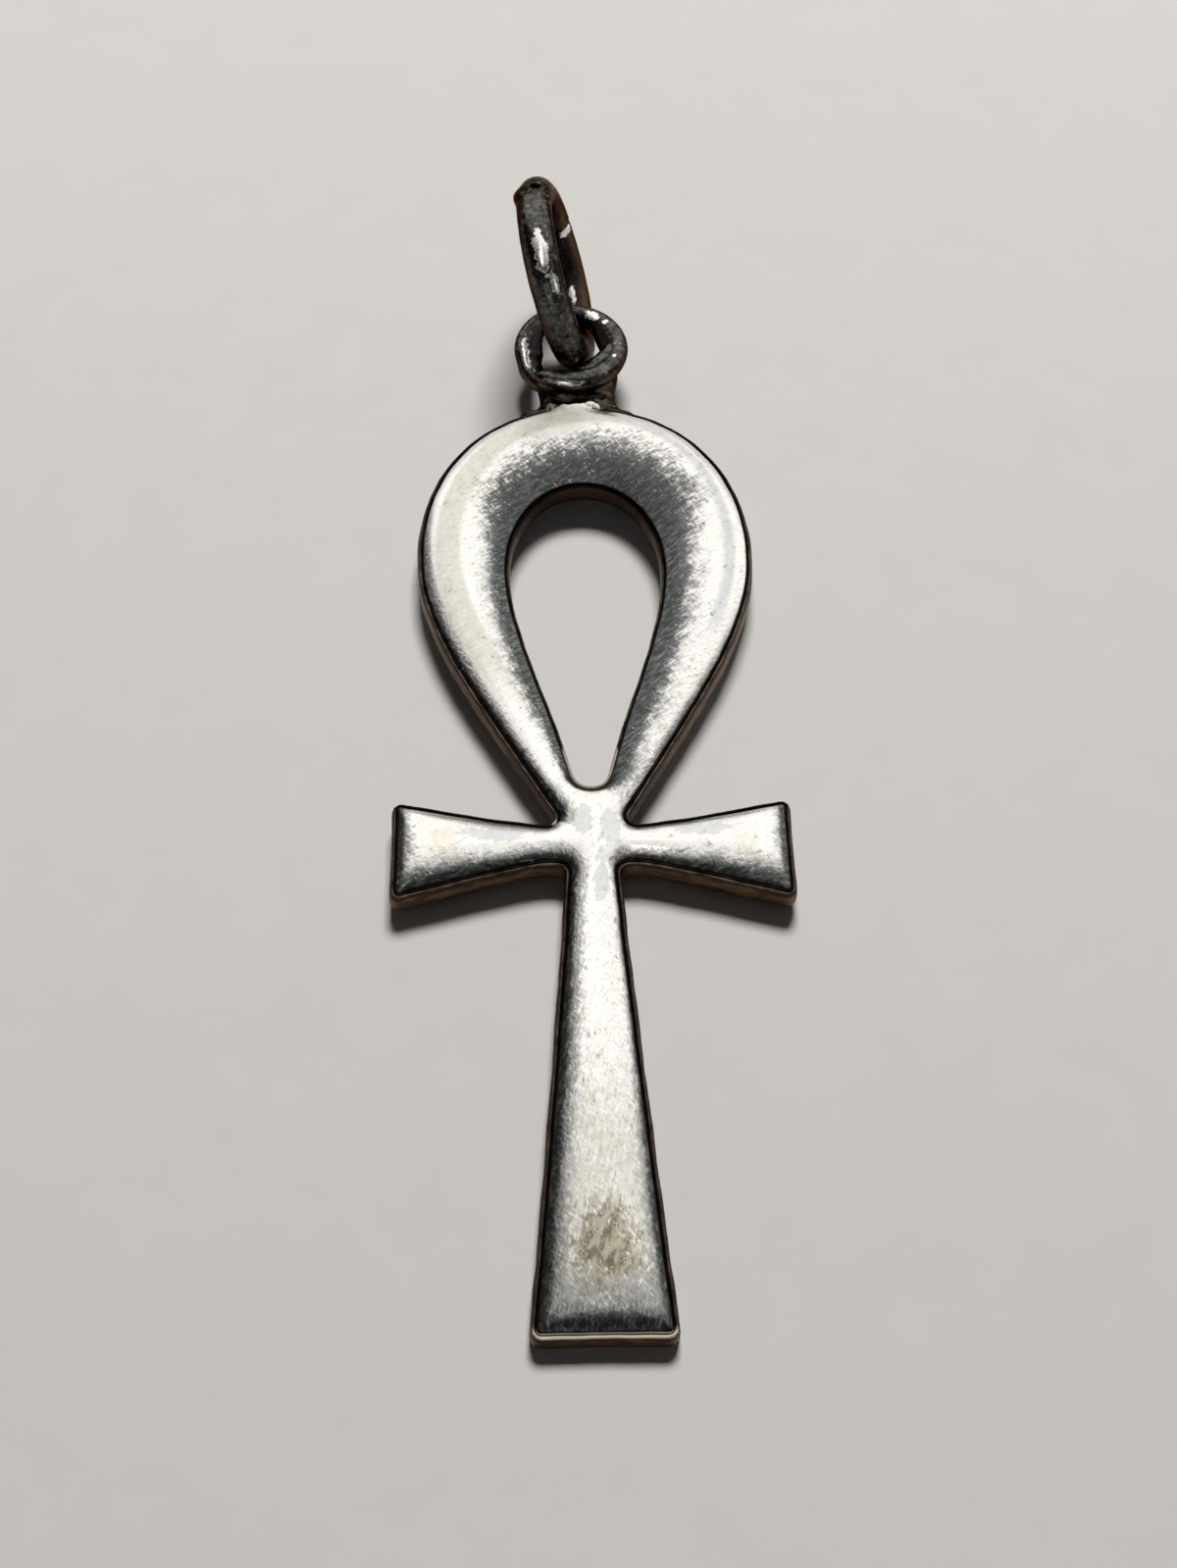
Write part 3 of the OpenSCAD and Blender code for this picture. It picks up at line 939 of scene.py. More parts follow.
# %% Readings of the cast body
# Brush strokes: how far each kind is stretched along and across, and how fine the common one is.
STROKE = (1.7, 0.42, 1)
FLECK = (1.5, 0.5, 1)
DAB = (1.5, 0.7, 1)
STROKE_SCALE = 3.3
LOOP_STROKES = 35
ARM_STROKES = 12
STEM_STROKES = 80
BODY_SCRATCHES = [(35, 4, 0.62), (-50, 5, 0.63), (82, 3, 0.66)]
# Stretches along Y on the table, in mm: where each begins, and where it is full.
LOOP_PART = (-5.5, -3)
LOOP_TOP = (8, 12)
ARM_PART = (-12, -10.8)


def read_body(paint):
    """The readings that the masks of the cast body are made of."""
    place = paint.place()
    x = paint.node("SeparateXYZ", {}, {"Vector": place}, output=0)
    y = paint.node("SeparateXYZ", {}, {"Vector": place}, output=1)
    in_loop = y.rise(*LOOP_PART)
    on_arm = x.size().rise(1.2, 2.4) * y.rise(*ARM_PART) * (1 - in_loop)

    def strokes_along(angle):
        return paint.noise(paint.turned(place, angle, STROKE), STROKE_SCALE, detail=4, roughness=0.62)

    strokes = (strokes_along(LOOP_STROKES) * in_loop + strokes_along(ARM_STROKES) * on_arm
               + strokes_along(STEM_STROKES) * (1 - in_loop - on_arm))
    mottle = paint.noise(place, 1.6, detail=3, roughness=0.55, distortion=0.5)
    flecks = paint.noise(paint.turned(place, -50, FLECK), 4.5, detail=3, roughness=0.6)
    return SimpleNamespace(
        place=place, x=x, y=y, in_loop=in_loop, on_arm=on_arm, at_top=y.rise(*LOOP_TOP),
        on_left=x.rise(0.3, -0.3),
        from_outer=paint.attribute("from_outer"), from_hole=paint.attribute("from_hole"),
        zone=paint.attribute("zone"), along=paint.attribute("along"), facing=paint.attribute("facing"),
        strokes=strokes, mottle=mottle, flecks=flecks, cloud=paint.noise(place, 0.5, detail=4),
        dabs=paint.noise(paint.turned(place, 65, DAB), 2.2, detail=2, roughness=0.5),
        lines=scratches(paint, place, BODY_SCRATCHES),
        ragged=(mottle - 0.5) * 0.7 + (strokes - 0.5) * 1.3 + (flecks - 0.5) * 0.8)


silver = Paint("cast_silver")
body = read_body(silver)
print("readings of the body:", ", ".join(sorted(vars(body))))

# %% [markdown]
# ## Tarnish and painted shade along the rims
# Rubbing reaches the middle of the metal first, so tarnish stays along the rims that a cloth slides over.
# The same bands also paint shade: slopes that face the camera, or turn left away from the light, mirror the
# dark room, and the bands darken them in the colour. How far they reach in differs from place to place.
# They are widest over the top of the hole, fair along the underside of the arms and the left side of the
# stem, and a thin line elsewhere. Two more darken the arms' ends and the end of the foot.

# %% Zones of tarnish and painted shade
HOLE_TOP_PART = (9, 13.5)
LEG_PART = (2, -4.5)
LEFT_STEM_PART = (-12, -20)
RIGHT_STEM_PART = (-14, -27)
# How far the tarnish and painted shade reach in, in mm: at the hole's left and right side, and more at its
# top.
HOLE_REACH = (1.5, 2.3)
HOLE_TOP_MORE = 1.5
HOLE_FOOT_SPOT = (0, 25.4, 1.4)
STEM_REACH = (0.9, 0.3)
ARM_END_REACH = 0.75
FOOT_REACH = 2.3


def hole_tarnish_and_shade(paint, body):
    """Tarnish and painted shade round the hole, wide at its top, where the slope faces the camera, and
    narrow at its foot.
    """
    leg = body.y.rise(*LEG_PART)
    on_right = body.x.rise(-1.5, 2)
    end = (HOLE_REACH[0] - leg * 0.9) * (1 - on_right) + (HOLE_REACH[1] - leg * 0.7) * on_right
    end = end + body.y.rise(*HOLE_TOP_PART) * HOLE_TOP_MORE
    end = end * (1 - near(paint, body.place, *HOLE_FOOT_SPOT) * 0.6)
    return tarnish_and_shade_band(body.from_hole, end, body.at_top * 0.2 + 0.7, body.ragged)


def underside_tarnish_and_shade(body):
    """Tarnish and painted shade under the arms, where their slopes face the camera. Toward an arm's end the
    nearest rim is the end, so there the band counts from the lower rim instead."""
    end = (body.x.size() * 0.26 - 0.2).most(0.45)
    way = ((body.x.size() - ARM_START) / (FACE_ARM - ARM_START)).most(0)
    above_rim = body.y - ARM_UNDERSIDE + way * (ARM_DROOP + FACE_HALF_END - ARM_ROOT / 2)
    outward = body.x.size().rise(5.5, 7) * body.on_arm
    distance = body.from_outer * (1 - outward) + above_rim * outward
    return tarnish_and_shade_band(distance, end, 0.55, body.ragged, body.facing.rise(0.45, 0.8).most(outward))


def side_tarnish_and_shade(body):
    """Tarnish and painted shade along the sides of the stem and of the loop's legs, wider on the left."""
    left, right = STEM_REACH
    end = body.on_left * (left + body.y.rise(*LEFT_STEM_PART) * 0.4)
    end = end + (1 - body.on_left) * (right + body.y.rise(*RIGHT_STEM_PART) * 0.6)
    end = end * (1 - body.in_loop * 0.45)
    sideward = body.facing.rise(-0.7, -0.2) * (1 - body.y.rise(3, 8))
    sideward = sideward * (1 - body.in_loop * (1 - body.on_left))
    return tarnish_and_shade_band(body.from_outer, end, 0.45, body.ragged, sideward)


# Bands of tarnish and painted shade. The last two are painted shade over the arms' ends and the end of the
# foot, where the crown rolls off toward the camera.
bands = [hole_tarnish_and_shade(silver, body), underside_tarnish_and_shade(body), side_tarnish_and_shade(body),
         tarnish_and_shade_band(FACE_ARM - body.x.size(), ARM_END_REACH, 0.6, body.ragged, body.y.rise(2, -2)),
         tarnish_and_shade_band(body.y - FOOT_LINE, FOOT_REACH, 0.32, body.ragged)]
grey_tarnish_and_shade = strongest(grey for grey, dark in bands)
dark_tarnish_and_shade = strongest(dark for grey, dark in bands)
print(len(bands), "bands of tarnish")

# %% [markdown]
# ## The face of the silver
# Under the tarnish the face is no even silver. A grey band runs round the loop near its outer rim: a
# painted dimmer reflection near its crest, with a little satin roughness. Grey patches are painted on the
# crossing and along the arms, and cream places show where the silver has gone yellow. Down the stem the
# metal gets paler and duller, with a straw-brown stain above the foot. Over the tarnish lie scratches and
# glints, where a knock has laid the silver bare.

# %% Face colours
# Spots on the flat ankh: X, Y, reach in mm, and how wide each is for its length.
CREAM_SPOTS = [(-0.16, 48.1, 1.6, 1.6), (6.9, 40.7, 1.3, 0.7), (-4.96, 42.8, 1.6, 0.8), (-6.6, 22.9, 1.1),
               (6.9, 22.6, 1.0)]
GREY_PATCH_SPOTS = [(-0.48, 24.02, 1.3, 0.5), (0.82, 23.59, 1.3, 0.62), (0.32, 20.93, 2.0, 0.26),
               (-4.2, 23.3, 0.6, 4), (4.9, 23.5, 0.55, 4)]
STAIN_SPOT = (0.05, 3.7, 3.3, 0.75)
DULL_PART = (-11, -25)
GREY_PART = (-24.5, -28.5)


def painted_crest_band(body):
    """A painted dimmer reflection near the loop's outer rim, on slightly rougher satin metal. It is wider
    on the left, and ends low on the right.
    """
    end = 1.25 + body.x.rise(3, -5) * 0.65
    band = body.from_outer.rise(0.45, 0.75) * (end - body.from_outer).rise(-0.1, 0.3) * body.in_loop
    return band * (1 - body.x.rise(-1, 2) * body.y.rise(6, 2)) * body.y.rise(-1, 3)


def rubbed_silver(paint, body, crest_reflection_band):
    """The colour of the face before any tarnish or painted shade, with the painted reflection on the loop.
    """
    cream = near_any(paint, body.place, CREAM_SPOTS) * 0.7 + (body.cloud - 0.5) * 2 + body.ragged * 0.8
    # Grey patches on the crossing and along the arms.
    grey_patch = near_any(paint, body.place, GREY_PATCH_SPOTS) + (body.dabs - 0.5) * 1.6 + body.ragged * 0.9
    dull = (body.y.rise(*DULL_PART) + body.ragged * 1.2).rise(0.3, 1.2)
    grey = (body.y.rise(*GREY_PART) * 0.9 + body.ragged * 1.3).rise(0.3, 1.1)
    stain = (near(paint, body.place, *STAIN_SPOT, core=0.1) + body.ragged * 1.6).rise(0.25, 0.85)
    stain_depth = ((body.dabs + body.strokes) * 0.5).rise(0.42, 0.58)
    return paint.layered(
        SILVER,
        (CREAM_SILVER, cream.rise(0.2, 1.0) * 0.8),
        (paint.mix(SATIN_AND_REFLECTION_GREY, SATIN_AND_REFLECTION_CREAM, body.x.rise(2, -2)), crest_reflection_band * (0.7 + body.ragged * 0.8)),
        (SATIN_AND_REFLECTION_GREY, grey_patch.rise(0.38, 0.66) * 0.6),
        (paint.mix(PALE_TARNISH, SATIN_AND_REFLECTION_CREAM, body.mottle.rise(0.32, 0.55)), dull * 0.8),
        (paint.mix(GREY_TARNISH_AND_SHADE, PALE_TARNISH, body.strokes.rise(0.3, 0.65)), grey * 0.85),
        (paint.mix(OLIVE_STAIN, STRAW_STAIN, stain_depth), stain * 0.9))


def tarnished_and_shaded(paint, body, colour):
    """A colour with the tarnish and painted shade over it, and bare scratches and glints over them."""
    # The grey and dark layers are tarnish and painted shade on the slopes that face the camera.
    grey = paint.mix(GREY_TARNISH_AND_SHADE, PALE_TARNISH, body.strokes.rise(0.42, 0.62))
    dark = paint.mix(DARK_TARNISH_AND_SHADE, GREY_TARNISH_AND_SHADE, body.strokes.rise(0.45, 0.68) * (1 - body.at_top * 0.55))
    glints = (body.flecks + (body.mottle - 0.5) * 0.5).rise(0.68, 0.76)
    bare = (body.lines * body.strokes.rise(0.4, 0.6)).most(glints)
    return paint.layered(colour, (grey, grey_tarnish_and_shade * 0.8), (dark, dark_tarnish_and_shade * 0.92), (SILVER, bare * 0.6))


crest_reflection_band = painted_crest_band(body)
colour = tarnished_and_shaded(silver, body, rubbed_silver(silver, body, crest_reflection_band))
print(len(silver.tree.nodes), "nodes in the silver so far")

# %% [markdown]
# ## Wall, groove and solder
# The wall is out of a cloth's reach, so it is brown with tarnish, a brown that also stands for a painted
# reflection of a brown table. It is darker still in the corners and at the top of the hole, as painted
# shade.
# Its upper lip, where it faces the camera, and the line where it meets the table are painted paler, partly
# wear and partly painted highlight, and cream at the foot. The groove beside the lip is black, and a
# painted shadow lies at the foot of the hole. Near the neck the silver was heated: it is matt and whitish,
# with straw-coloured flecks. Two painted highlights, matt white, sit in the corners.

# %% Wall and solder, and the finished silver
# The zone is 0 on the back, 2 on the face, and on the wall 1 and the share of its height.
WALL_ZONE = ((1.96, 1.9), (0.98, 1.0))
LIP_ZONE = ((1.88, 1.93), (1.99, 1.965))
TABLE_LINE_ZONE = ((0.97, 1.0), (1.12, 1.04))
CORNER_SHADE_SPOTS = [(-2.8, 25.5, 3.2), (2.8, 25.5, 3.2)]
HOLE_FOOT_SHADE_SPOT = (0, 26, 2.2)
PAINTED_GLINT_SPOTS = [(-1.66, 24.16, 0.36, 0.8), (0.9, 26.4, 0.18)]
CRUST_SPOT = (-0.45, 49.3, 1.0, 1.7)
HEATED_SPOT = (-1.3, 48.0, 1.9, 1.3)
BODY_BUMP = 0.028 * MM


def between(value, limits):
    """1 where a value lies between two soft limits."""
    return value.rise(*limits[0]) * value.rise(*limits[1])


def with_wall(paint, body, colour, wall):
    """A colour with the wall, the groove and the lip laid over it. The wall's brown is tarnish and a
    painted reflection, its corners and the hole's top wall painted shade, and its lip and table line partly
    painted highlight.
    """
    wall_place = paint.node("CombineXYZ", {}, {"X": body.along * 0.6, "Y": body.zone * 2, "Z": 0.0})
    ticks = paint.noise(wall_place, 1.8, detail=5, roughness=0.65)
    # Painted shade: deeper brown in the corners, and on the wall at the top of the hole, which faces the
    # camera.
    corner = near_any(paint, body.place, CORNER_SHADE_SPOTS).most(body.facing.rise(-0.2, -0.9)) * 0.3
    depth = (ticks + body.zone.rise(1.5, 1.9) * 0.2 + corner).rise(0.42, 0.75)
    at_foot = body.along.size().rise(3.0, 2.6)
    # Painted highlight, partly wear: the lip is paler where it faces the camera, the line along the table
    # too, and cream at the foot.
    lip = between(body.zone, LIP_ZONE) * body.facing.rise(-0.5, 0.4)
    table_line_highlight = between(body.zone, TABLE_LINE_ZONE) * 0.5
    # Painted shadow at the foot of the hole, where the slope falls into shade.
    hole_foot_shade = near(paint, body.place, *HOLE_FOOT_SHADE_SPOT) * body.from_hole.rise(0.4, 0.2)
    groove = body.from_outer.least(body.from_hole).rise(0.09, 0.02)
    groove = groove.most(hole_foot_shade) * body.zone.rise(1.85, 1.9)
    lip_wear_and_highlight = (ticks - 0.35) * 2 + at_foot
    # The wall's brown is tarnish and a painted reflection of a brown table.
    return paint.layered(
        colour,
        (paint.mix(BROWN_TARNISH_AND_REFLECTION, DEEP_BROWN, depth), wall),
        (BLACK_LINE, groove),
        (paint.mix(LIP_HIGHLIGHT_BROWN, CREAM_SILVER, at_foot * 0.8), lip.most(table_line_highlight) * lip_wear_and_highlight))


wall = between(body.zone, WALL_ZONE)
soldered = (near(silver, body.place, *CRUST_SPOT) + body.ragged * 1.2).rise(0.35, 0.75)
# Painted highlights: two matt white spots where the corners show glints.
painted_glint = near_any(silver, body.place, PAINTED_GLINT_SPOTS)
heated = strongest([soldered, near(silver, body.place, *HEATED_SPOT, core=0.3), painted_glint])
solder_colour = silver.mix(SOLDER_WHITE, STRAW_STAIN, body.flecks.rise(0.48, 0.66) * 0.6)
colour = with_wall(silver, body, colour, wall)
colour = silver.layered(colour, (solder_colour, soldered), (SOLDER_WHITE, painted_glint))

busy = grey_tarnish_and_shade.most(body.y.rise(-8, -27) * 0.8)
rough = (0.19 + body.mottle * 0.08 + busy * 0.08 + wall * 0.16 + body.lines * 0.08 + crest_reflection_band * 0.06
         + heated * 0.25)
relief = (body.mottle + body.strokes * 0.6 + body.flecks * 0.3) * (0.2 + 0.6 * busy + soldered)
relief = relief - body.lines * 0.15
metallic = 1 - (heated * 0.35).most(painted_glint)
cast_silver = silver.metal(colour, metallic, rough, relief, BODY_BUMP)
finish_piece(bm, "cast_body", "ankh", cast_silver, lie_down)

# %% [markdown]
# ## Blackened wire
# The eye and the jump ring are drawn silver wire. Heat and wear have left it black and glossy, and bare
# where piece rubs on piece. Its flanks are painted brown, as tarnish and as a painted reflection of a brown
# table, and its inside is painted black, as painted shade. The mesh keeps how much of each a place has, and
# the neck also keeps where its crust of solder lies. One paint serves all three pieces, with its noise
# shifted from piece to piece.

# %% Wire paint
WIRE_BLACK = (0.045, 0.043, 0.038, 1)
WIRE_STEEL = (0.16, 0.158, 0.145, 1)
WIRE_BROWN = (0.115, 0.075, 0.045, 1)
WIRE_EDGE = (0.3, 0.26, 0.22, 1)
WIRE_SCRATCHES = [(25, 5, 0.66), (100, 4, 0.67)]
WIRE_BUMP = 0.035 * MM


def wire_paint(name, shift):
    """Round silver wire, blackened and glossy, and bare where it is rubbed. Its brown flanks are tarnish
    and a painted reflection, and its black inside is painted shade.
    """
    paint = Paint(name)
    place = paint.node("Mapping", {}, {"Vector": paint.place(), "Location": (shift, 0, 0)})
    cloud = paint.noise(place, 0.9, detail=4, roughness=0.6)
    mottle = paint.noise(place, 3.0, detail=5, roughness=0.68)
    grain = paint.noise(place, 9, detail=3, roughness=0.6)
    lines = scratches(paint, place, WIRE_SCRATCHES)
    flank, inside, rub, crust = [paint.attribute(name) for name in ("flank", "inside", "rub", "crust")]
    steel = ((1 - flank) * 0.6 + (mottle - 0.5) * 2.4).rise(0.25, 1.0)
    brown = (flank + (cloud - 0.5) * 1.2 + (mottle - 0.5) * 0.8).rise(0.4, 0.9)
    bare = (rub + (mottle - 0.5) * 1.5 + (grain - 0.5) * 0.6).rise(0.4, 0.58)
    # Painted shade: the ring's pit is painted black.
    pit_shade = (rub + (grain - 0.5) * 0.3).rise(-0.2, -0.5)
    crusted = (crust * 1.1 + (mottle - 0.5) * 1.6 + (grain - 0.5) * 1.6).rise(0.35, 0.55)
    # Brown flanks: tarnish and a painted reflection of a brown table. Black inside: painted shade.
    colour = paint.layered(
        paint.mix(WIRE_BLACK, WIRE_STEEL, steel),
        (WIRE_BROWN, brown * 0.85),
        (BLACK_LINE, (inside + (cloud - 0.5) * 0.8).rise(0.25, 0.8) * 0.9),
        (SILVER, bare.most(lines * 0.3)),
        (paint.mix(SOLDER_WHITE, CREAM_SILVER, mottle.rise(0.45, 0.6)), crusted),
        (BLACK_LINE, pit_shade))
    rough = 0.12 + mottle * 0.08 + brown * 0.14 + crusted * 0.3
    relief = (mottle + grain * (0.35 + crusted) - lines * 0.3) * (1 - bare * 0.6)
    return paint.metal(colour, 1 - crusted * 0.9, rough, relief, WIRE_BUMP, edge_tint=WIRE_EDGE)


dark_wire = wire_paint("dark_wire", 0)
print("wire paint:", dark_wire.name, "with", len(dark_wire.node_tree.nodes), "nodes")

# %% [markdown]
# ## The neck
# The eye is soldered on with a short wide neck that has run into the corners: hollow sides, lumps of
# solder where it meets the loop, and a dip in the middle. A grid is enough to start from: its vertices
# are moved to the neck's outline and height, then the sheet is thickened downwards.

# %% Neck with its solder
EYE_LEFT = -0.45
EYE_TURN = 2.41
EYE_WIRE = 0.98
EYE_HEIGHT = 1.25
NECK_LEFT = -0.17
NECK_HALF = 1.92
NECK_START = ANKH_LENGTH - 0.8
NECK_WAIST = ANKH_LENGTH + 1
EYE_CENTER = Vector((EYE_LEFT, NECK_WAIST + EYE_TURN + EYE_WIRE / 2, EYE_HEIGHT))
NECK_END = NECK_WAIST + 1.3
NECK_FLARE = 1.0
NECK_BASE = 0.16
NECK_TOP = 1.0
NECK_RISE = 0.2
NECK_ROUNDING = 0.7
NECK_CUT = 2.3
NECK_DIP = Vector((-0.75, 50.0))
DIP_DEPTH = 0.3
DIP_WIDE = 0.6
DIP_LONG = 0.35
CRUST_END = 49.52
# How much of the neck's wire paint is that of a flank, brown as tarnish and painted reflection, and of the
# inside, black as painted shade under the eye, which varies by the last number.
NECK_FLANK = 0.6
NECK_INSIDE = (0.45, 0.3)
# Lumps of solder: X, Y, radius and height. The last one is part of the dark neck, without a crust.
SOLDER_LUMPS = [
    (-1.52, 49.5, 0.2, 0.26), (0.52, 49.5, 0.22, 0.26), (-0.2, 49.3, 0.3, 0.1), (0.1, 49.42, 0.16, 0.14),
    (-0.9, 49.36, 0.2, 0.12), (0.75, 49.35, 0.16, 0.12), (1.3, 49.9, 0.4, 0.1)]


def neck_half_width(y):
    """Half the neck's width: it flares into the loop through a hollow corner, and a little to the eye."""
    drop = min(1, max(0, (NECK_WAIST - 0.1 - y) / NECK_FLARE))
    return NECK_HALF + NECK_FLARE * (1 - math.sqrt(1 - drop * drop)) + 0.2 * ease((y - NECK_WAIST) / 1.4)


def neck_end(x):
    """Where the neck ends inside the eye's wire."""
    return EYE_CENTER.y - math.sqrt(max(1.3, NECK_CUT ** 2 - (x - EYE_LEFT) ** 2))


def neck_height(x, y, across):
    """Height of the neck's top. Across goes from -1 at its left side to 1 at its right side."""
    level = NECK_TOP + NECK_RISE * ease((y - NECK_WAIST) / 0.7)
    level -= DIP_DEPTH * hump(x - NECK_DIP.x, DIP_WIDE) * hump(y - NECK_DIP.y, DIP_LONG)
    level -= NECK_ROUNDING * (1 - math.sqrt(max(0, 1 - abs(across) ** 3)))
    level += 0.05 * wobble(Vector((x, y)), 1.9, 5) + 0.02 * wobble(Vector((x, y)), 6, 6)
    over_rim = hump(x - SOLDER_AT.x, SOLDER_WIDE) ** 2 * ease((SOLDER_AT.y + 0.5 - y) / 0.5)
    level += (SOLDER_FILL + SOLDER_OVER) * over_rim
    rugged = 1 + 0.8 * wobble(Vector((x, y)), 5, 7)
    return level + rugged * sum(height * hump(math.hypot(x - lump_x, y - lump_y), radius)
                                for lump_x, lump_y, radius, height in SOLDER_LUMPS)


def crust_at(x, y):
    """How much pale crust lies on a place of the neck: on each lump, and where solder crosses the rim."""
    on_lumps = max(hump(math.hypot(x - lump_x, y - lump_y), 1.3 * radius)
                   for lump_x, lump_y, radius, height in SOLDER_LUMPS[:-1])
    return max(on_lumps, solder_fill(x, y) * ease((CRUST_END - y) / 0.25))


bm = bmesh.new()
layers = {name: bm.verts.layers.float.new(name) for name in ("crust", "flank", "inside")}
bmesh.ops.create_grid(bm, x_segments=80, y_segments=60, size=1)
for vertex in bm.verts:
    across, way = math.sin(vertex.co.x * math.pi / 2), (vertex.co.y + 1) / 2
    x = NECK_LEFT + across * neck_half_width(mix(NECK_START, NECK_END, way))
    y = mix(NECK_START, neck_end(x), way)
    vertex.co = (x, y, neck_height(x, y, across))
    vertex[layers["crust"]] = crust_at(x, y)
    # The neck is painted brown and partly black: tarnish, with painted shade where it lies under the eye's
    # wire.
    vertex[layers["flank"]] = NECK_FLANK
    vertex[layers["inside"]] = NECK_INSIDE[0] + NECK_INSIDE[1] * wobble(Vector((x, y)), 1.2, 8)
underside = bmesh.ops.extrude_face_region(bm, geom=bm.faces[:])["geom"]
for vertex in underside:
    if isinstance(vertex, bmesh.types.BMVert):
        vertex.co.z = NECK_BASE
        vertex[layers["crust"]] = 0
print(f"neck: {len(bm.faces)} faces, {2 * NECK_HALF:.2f} mm wide at its waist")
finish_piece(bm, "neck_solder", "ankh", dark_wire, lie_down)

# %% [markdown]
# ## The wire eye
# The eye is a length of round wire bent round so that its ends overlap beside the neck. The front end is
# a tapered tip over the strand that passes under it, and the other end lies along the inside. At two
# places pliers have squeezed the wire deep toward the inside. The wire's path is given by a few stops: the
# angle round the eye, the distance from its middle, the height and the thickness. A circle of vertices is
# then extruded along the path.

# %% Eye of bent wire
WIRE_SIDES = 28
Stop = namedtuple("Stop", "angle turn lift thick")
EYE_STOPS = [
    Stop(-131, 2.86, 0.2, 0.1), Stop(-128, 2.82, 0.27, 0.5), Stop(-123, 2.75, 0.32, 0.76),
    Stop(-113, 2.66, 0.32, 0.92), Stop(-97, 2.56, 0.27, 1.14), Stop(-80, 2.5, 0.17, 1.16),
    Stop(-50, 2.47, 0.06, 1.12), Stop(-20, 2.43, 0, 1.04), Stop(40, EYE_TURN, 0, 1.02),
    Stop(150, EYE_TURN, 0, 1), Stop(195, 2.46, -0.03, 0.98), Stop(216, 2.66, -0.16, 0.98),
    Stop(232, 2.68, -0.34, 0.96), Stop(246, 2.46, -0.42, 0.92), Stop(264, 2.1, -0.26, 0.9),
    Stop(285, 1.9, 0.02, 0.9), Stop(312, 1.86, 0.16, 0.9), Stop(332, 1.88, 0.18, 0.84),
    Stop(350, 1.98, 0.16, 0.7), Stop(366, 2.1, 0.12, 0.5), Stop(376, 2.2, 0.08, 0.15)]
# Where the wire was squeezed deep toward the inside: angle, reach, and how much deeper for its radius.
EYE_SQUEEZES = [(186, 46, 1.05), (16, 44, 1.15)]
# Rubbed places of the eye: the angle round it, the angle round its wire with 90 on top, and how far they
# reach along it and round it.
EYE_RUBS = [(198, 88, 30, 16), (58, 108, 13, 24), (38, 95, 4, 14), (-95, 32, 26, 14), (-25, 88, 4, 12)]


def stop_at(angle):
    """The wire's stop at any angle, blended smoothly between the two nearest ones."""
    after = next(i for i, s in enumerate(EYE_STOPS) if s.angle >= angle or s is EYE_STOPS[-1])
    before = max(0, after - 1)
    a, b = EYE_STOPS[before], EYE_STOPS[after]
    share = ease((angle - a.angle) / (b.angle - a.angle)) if b.angle > a.angle else 0
    return Stop(angle, mix(a.turn, b.turn, share), mix(a.lift, b.lift, share), mix(a.thick, b.thick, share))


def round_wire(bm, layers, put, steps):
    """Sweeps a circle of vertices along a path and closes both ends."""
    bmesh.ops.create_circle(bm, segments=WIRE_SIDES, radius=1)
    start = bm.edges[:]
    for i, vertex in enumerate(bm.verts):
        vertex[layers["side"]] = i
        put(vertex, steps[0])
    sweep(bm, start, steps[1:], put)
    bmesh.ops.holes_fill(bm, edges=[e for e in bm.edges if e.is_boundary], sides=WIRE_SIDES)


def turned_by(angle, other):
    """How far an angle in degrees is from another, from -180 to 180."""
    return (angle - other + 180) % 360 - 180


bm = bmesh.new()
layers = {name: bm.verts.layers.float.new(name) for name in ("flank", "inside", "rub")}
layers["side"] = bm.verts.layers.int.new("side")


def put_on_eye(vertex, angle):
    """Puts a vertex of the wire's circle in its place round the eye, and marks it for the paint."""
    stop = stop_at(angle)
    tube = 2 * math.pi * vertex[layers["side"]] / WIRE_SIDES
    radius = EYE_WIRE / 2 * stop.thick
    squeeze = sum(deep * hump(angle - at, reach) for at, reach, deep in EYE_SQUEEZES)
    turn = stop.turn + radius * math.cos(tube) * (1 if math.cos(tube) > 0 else 1 + squeeze)
    spot = at_angle(angle) * turn
    vertex.co = EYE_CENTER + Vector((spot.x, spot.y, stop.lift + radius * math.sin(tube)))
    # The flank is painted brown as tarnish and painted reflection, and the inside black as painted shade,
    # darker where squeezed.
    vertex[layers["flank"]] = 1 - max(0, math.sin(tube))
    vertex[layers["inside"]] = max(0, -math.cos(tube)) * (1 + 1.2 * squeeze)
    vertex[layers["rub"]] = max(hump(angle - at, reach) * hump(turned_by(math.degrees(tube), side), wide)
                                for at, side, reach, wide in EYE_RUBS)


EYE_STEPS = 230
first, last = EYE_STOPS[0].angle, EYE_STOPS[-1].angle
round_wire(bm, layers, put_on_eye, [mix(first, last, i / EYE_STEPS) for i in range(EYE_STEPS + 1)])
finish_piece(bm, "wire_eye", "ankh", dark_wire, lie_down)

# %% [markdown]
# ## The jump ring
# The jump ring is heavier wire, bent to a circle until its cut ends meet. On the real ring they don't
# quite line up, so one end's face shows as a bright sliver. Spinning a circle almost all the way round
# gives a ring with two flat ends. Formulas then bend the last stretch aside, and add the lumps and the
# pit that the picture shows. The rubbed places are kept in the mesh for the wire's paint.

# %% Jump ring
RING_TURN = 4.1
RING_WIRE = 1.8
RING_STEPS = 220
RING_SIDES = 40
JOINT_GAP = 1.6
JOINT_AT = -2.6
JOINT_TURN = -90 - JOINT_AT + JOINT_GAP / 2
JOINT_SHIFT = 0.14
JOINT_BEND = 45
END_ROUNDING = 0.07
# The side of the wire that a cloth rubs lies this many degrees up from the ring's outer side.
RUBBED_SIDE = 15
RING_UNEVEN = 0.02
RING_SLACK = 0.012
PIT_DEPTH = 0.1

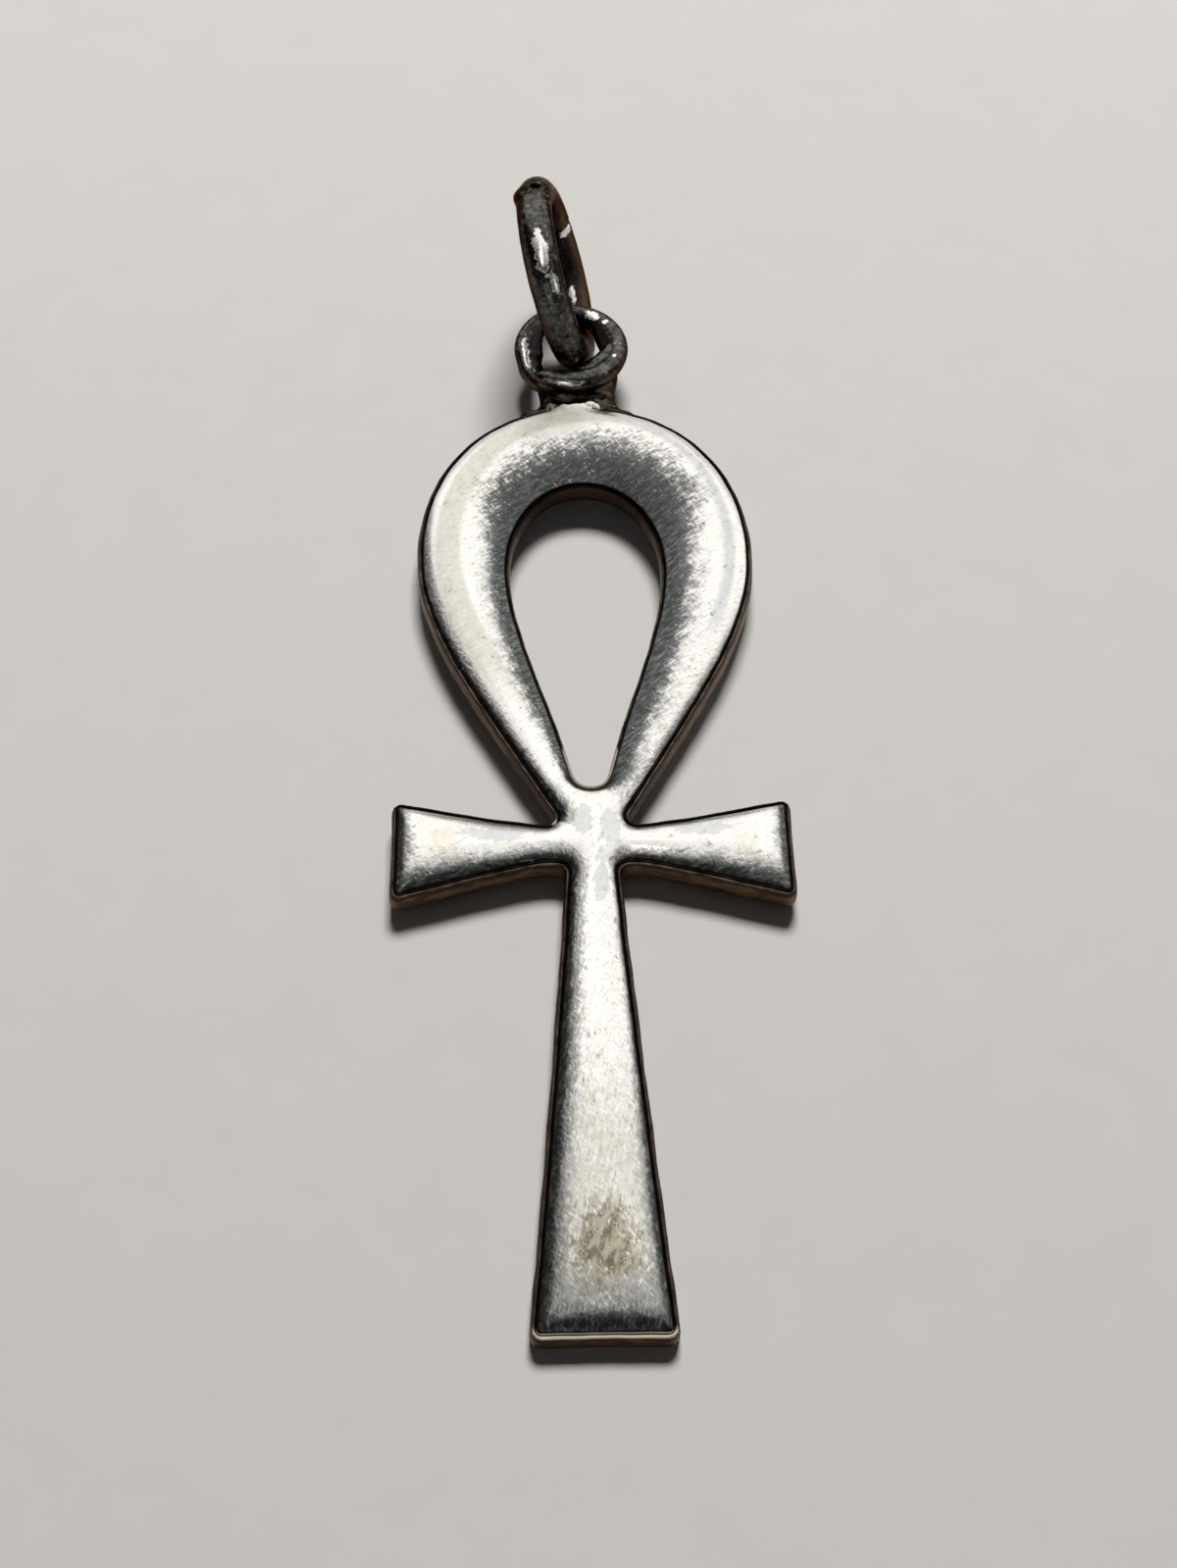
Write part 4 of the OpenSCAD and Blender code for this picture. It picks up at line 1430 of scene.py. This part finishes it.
# Rubbed places of the ring: the angle from its lowest point toward the foot, the angle round the wire
# from its outer side, and how far they reach each way. The pit is placed in the same way.
RING_RUBS = [(147, 12, 16, 26), (127, 36, 9, 14), (70, 3, 6, 22), (-26, 170, 10, 13), (-84, 131, 4, 30)]
RING_PIT = (-161.8, 21, 4, 18)
# Lumps of the ring, placed in the same way, and their heights.
RING_LUMPS = [
    ((-161, -62, 6, 28), 0.2), ((-155, 40, 5, 14), 0.05), ((73, -6, 3, 12), 0.06), ((68, 8, 3, 12), 0.07),
    ((76, 14, 3, 12), 0.05), ((150, 22, 4, 12), 0.03), ((139, 8, 4, 12), 0.03)]


def ring_angles(point):
    """The angles of a point of the upright ring, as the lists above give them."""
    turn = turned_by(-90, math.degrees(math.atan2(point.y, point.x)))
    return turn, math.degrees(math.atan2(point.z, math.hypot(point.x, point.y) - RING_TURN))


def on_ring(angles, place):
    """1 at a place of the lists above, and soft toward 0 beyond its reaches."""
    turn, tube, turn_reach, tube_reach = place
    return hump(turned_by(angles[0], turn), turn_reach) * hump(turned_by(angles[1], tube), tube_reach)


bm = bmesh.new()
layers = {name: bm.verts.layers.float.new(name) for name in ("flank", "inside", "rub")}
profile = bmesh.ops.create_circle(bm, segments=RING_SIDES, radius=RING_WIRE / 2)["verts"]
bmesh.ops.rotate(bm, verts=profile, cent=(0, 0, 0), matrix=Matrix.Rotation(math.pi / 2, 3, "X"))
bmesh.ops.translate(bm, verts=profile, vec=(RING_TURN, 0, 0))
bmesh.ops.spin(bm, geom=bm.verts[:] + bm.edges[:], cent=(0, 0, 0), axis=(0, 0, 1),
               angle=math.radians(360 - JOINT_GAP), steps=RING_STEPS, use_merge=False)
bmesh.ops.holes_fill(bm, edges=[e for e in bm.edges if e.is_boundary], sides=RING_SIDES)
bmesh.ops.recalc_face_normals(bm, faces=bm.faces)
ends = [e for f in bm.faces if len(f.verts) > 4 for e in f.edges]
bmesh.ops.bevel(bm, geom=ends, offset=END_ROUNDING, affect="EDGES", segments=3, profile=0.5, material=-1)
bmesh.ops.rotate(bm, verts=bm.verts, cent=(0, 0, 0), matrix=turned(JOINT_AT, "Z").to_3x3())

for vertex in bm.verts:
    angles = ring_angles(vertex.co)
    outward = vertex.co.to_2d().normalized()
    middle = (outward * RING_TURN).to_3d()
    rubbed_side = math.cos(math.radians(angles[1] - RUBBED_SIDE))
    # The flank is painted brown as tarnish and painted reflection, and the inside black as painted shade.
    vertex[layers["flank"]] = 1 - max(0, rubbed_side)
    vertex[layers["inside"]] = max(0, -rubbed_side)
    vertex[layers["rub"]] = max(on_ring(angles, place) for place in RING_RUBS) - on_ring(angles, RING_PIT)
    swell = sum(height * on_ring(angles, place) for place, height in RING_LUMPS)
    swell += RING_UNEVEN * noise.noise(vertex.co * 0.9) - RING_SLACK - PIT_DEPTH * on_ring(angles, RING_PIT)
    vertex.co += (vertex.co - middle).normalized() * swell
    lower_end = ease(1 - (angles[0] - JOINT_TURN) / JOINT_BEND) if angles[0] > JOINT_TURN else 0
    vertex.co -= (outward * JOINT_SHIFT * lower_end).to_3d()
dark_ring = wire_paint("dark_ring", 4)
finish_piece(bm, "jump_ring_wire", "jump_ring", dark_ring, stand_up)

# %% [markdown]
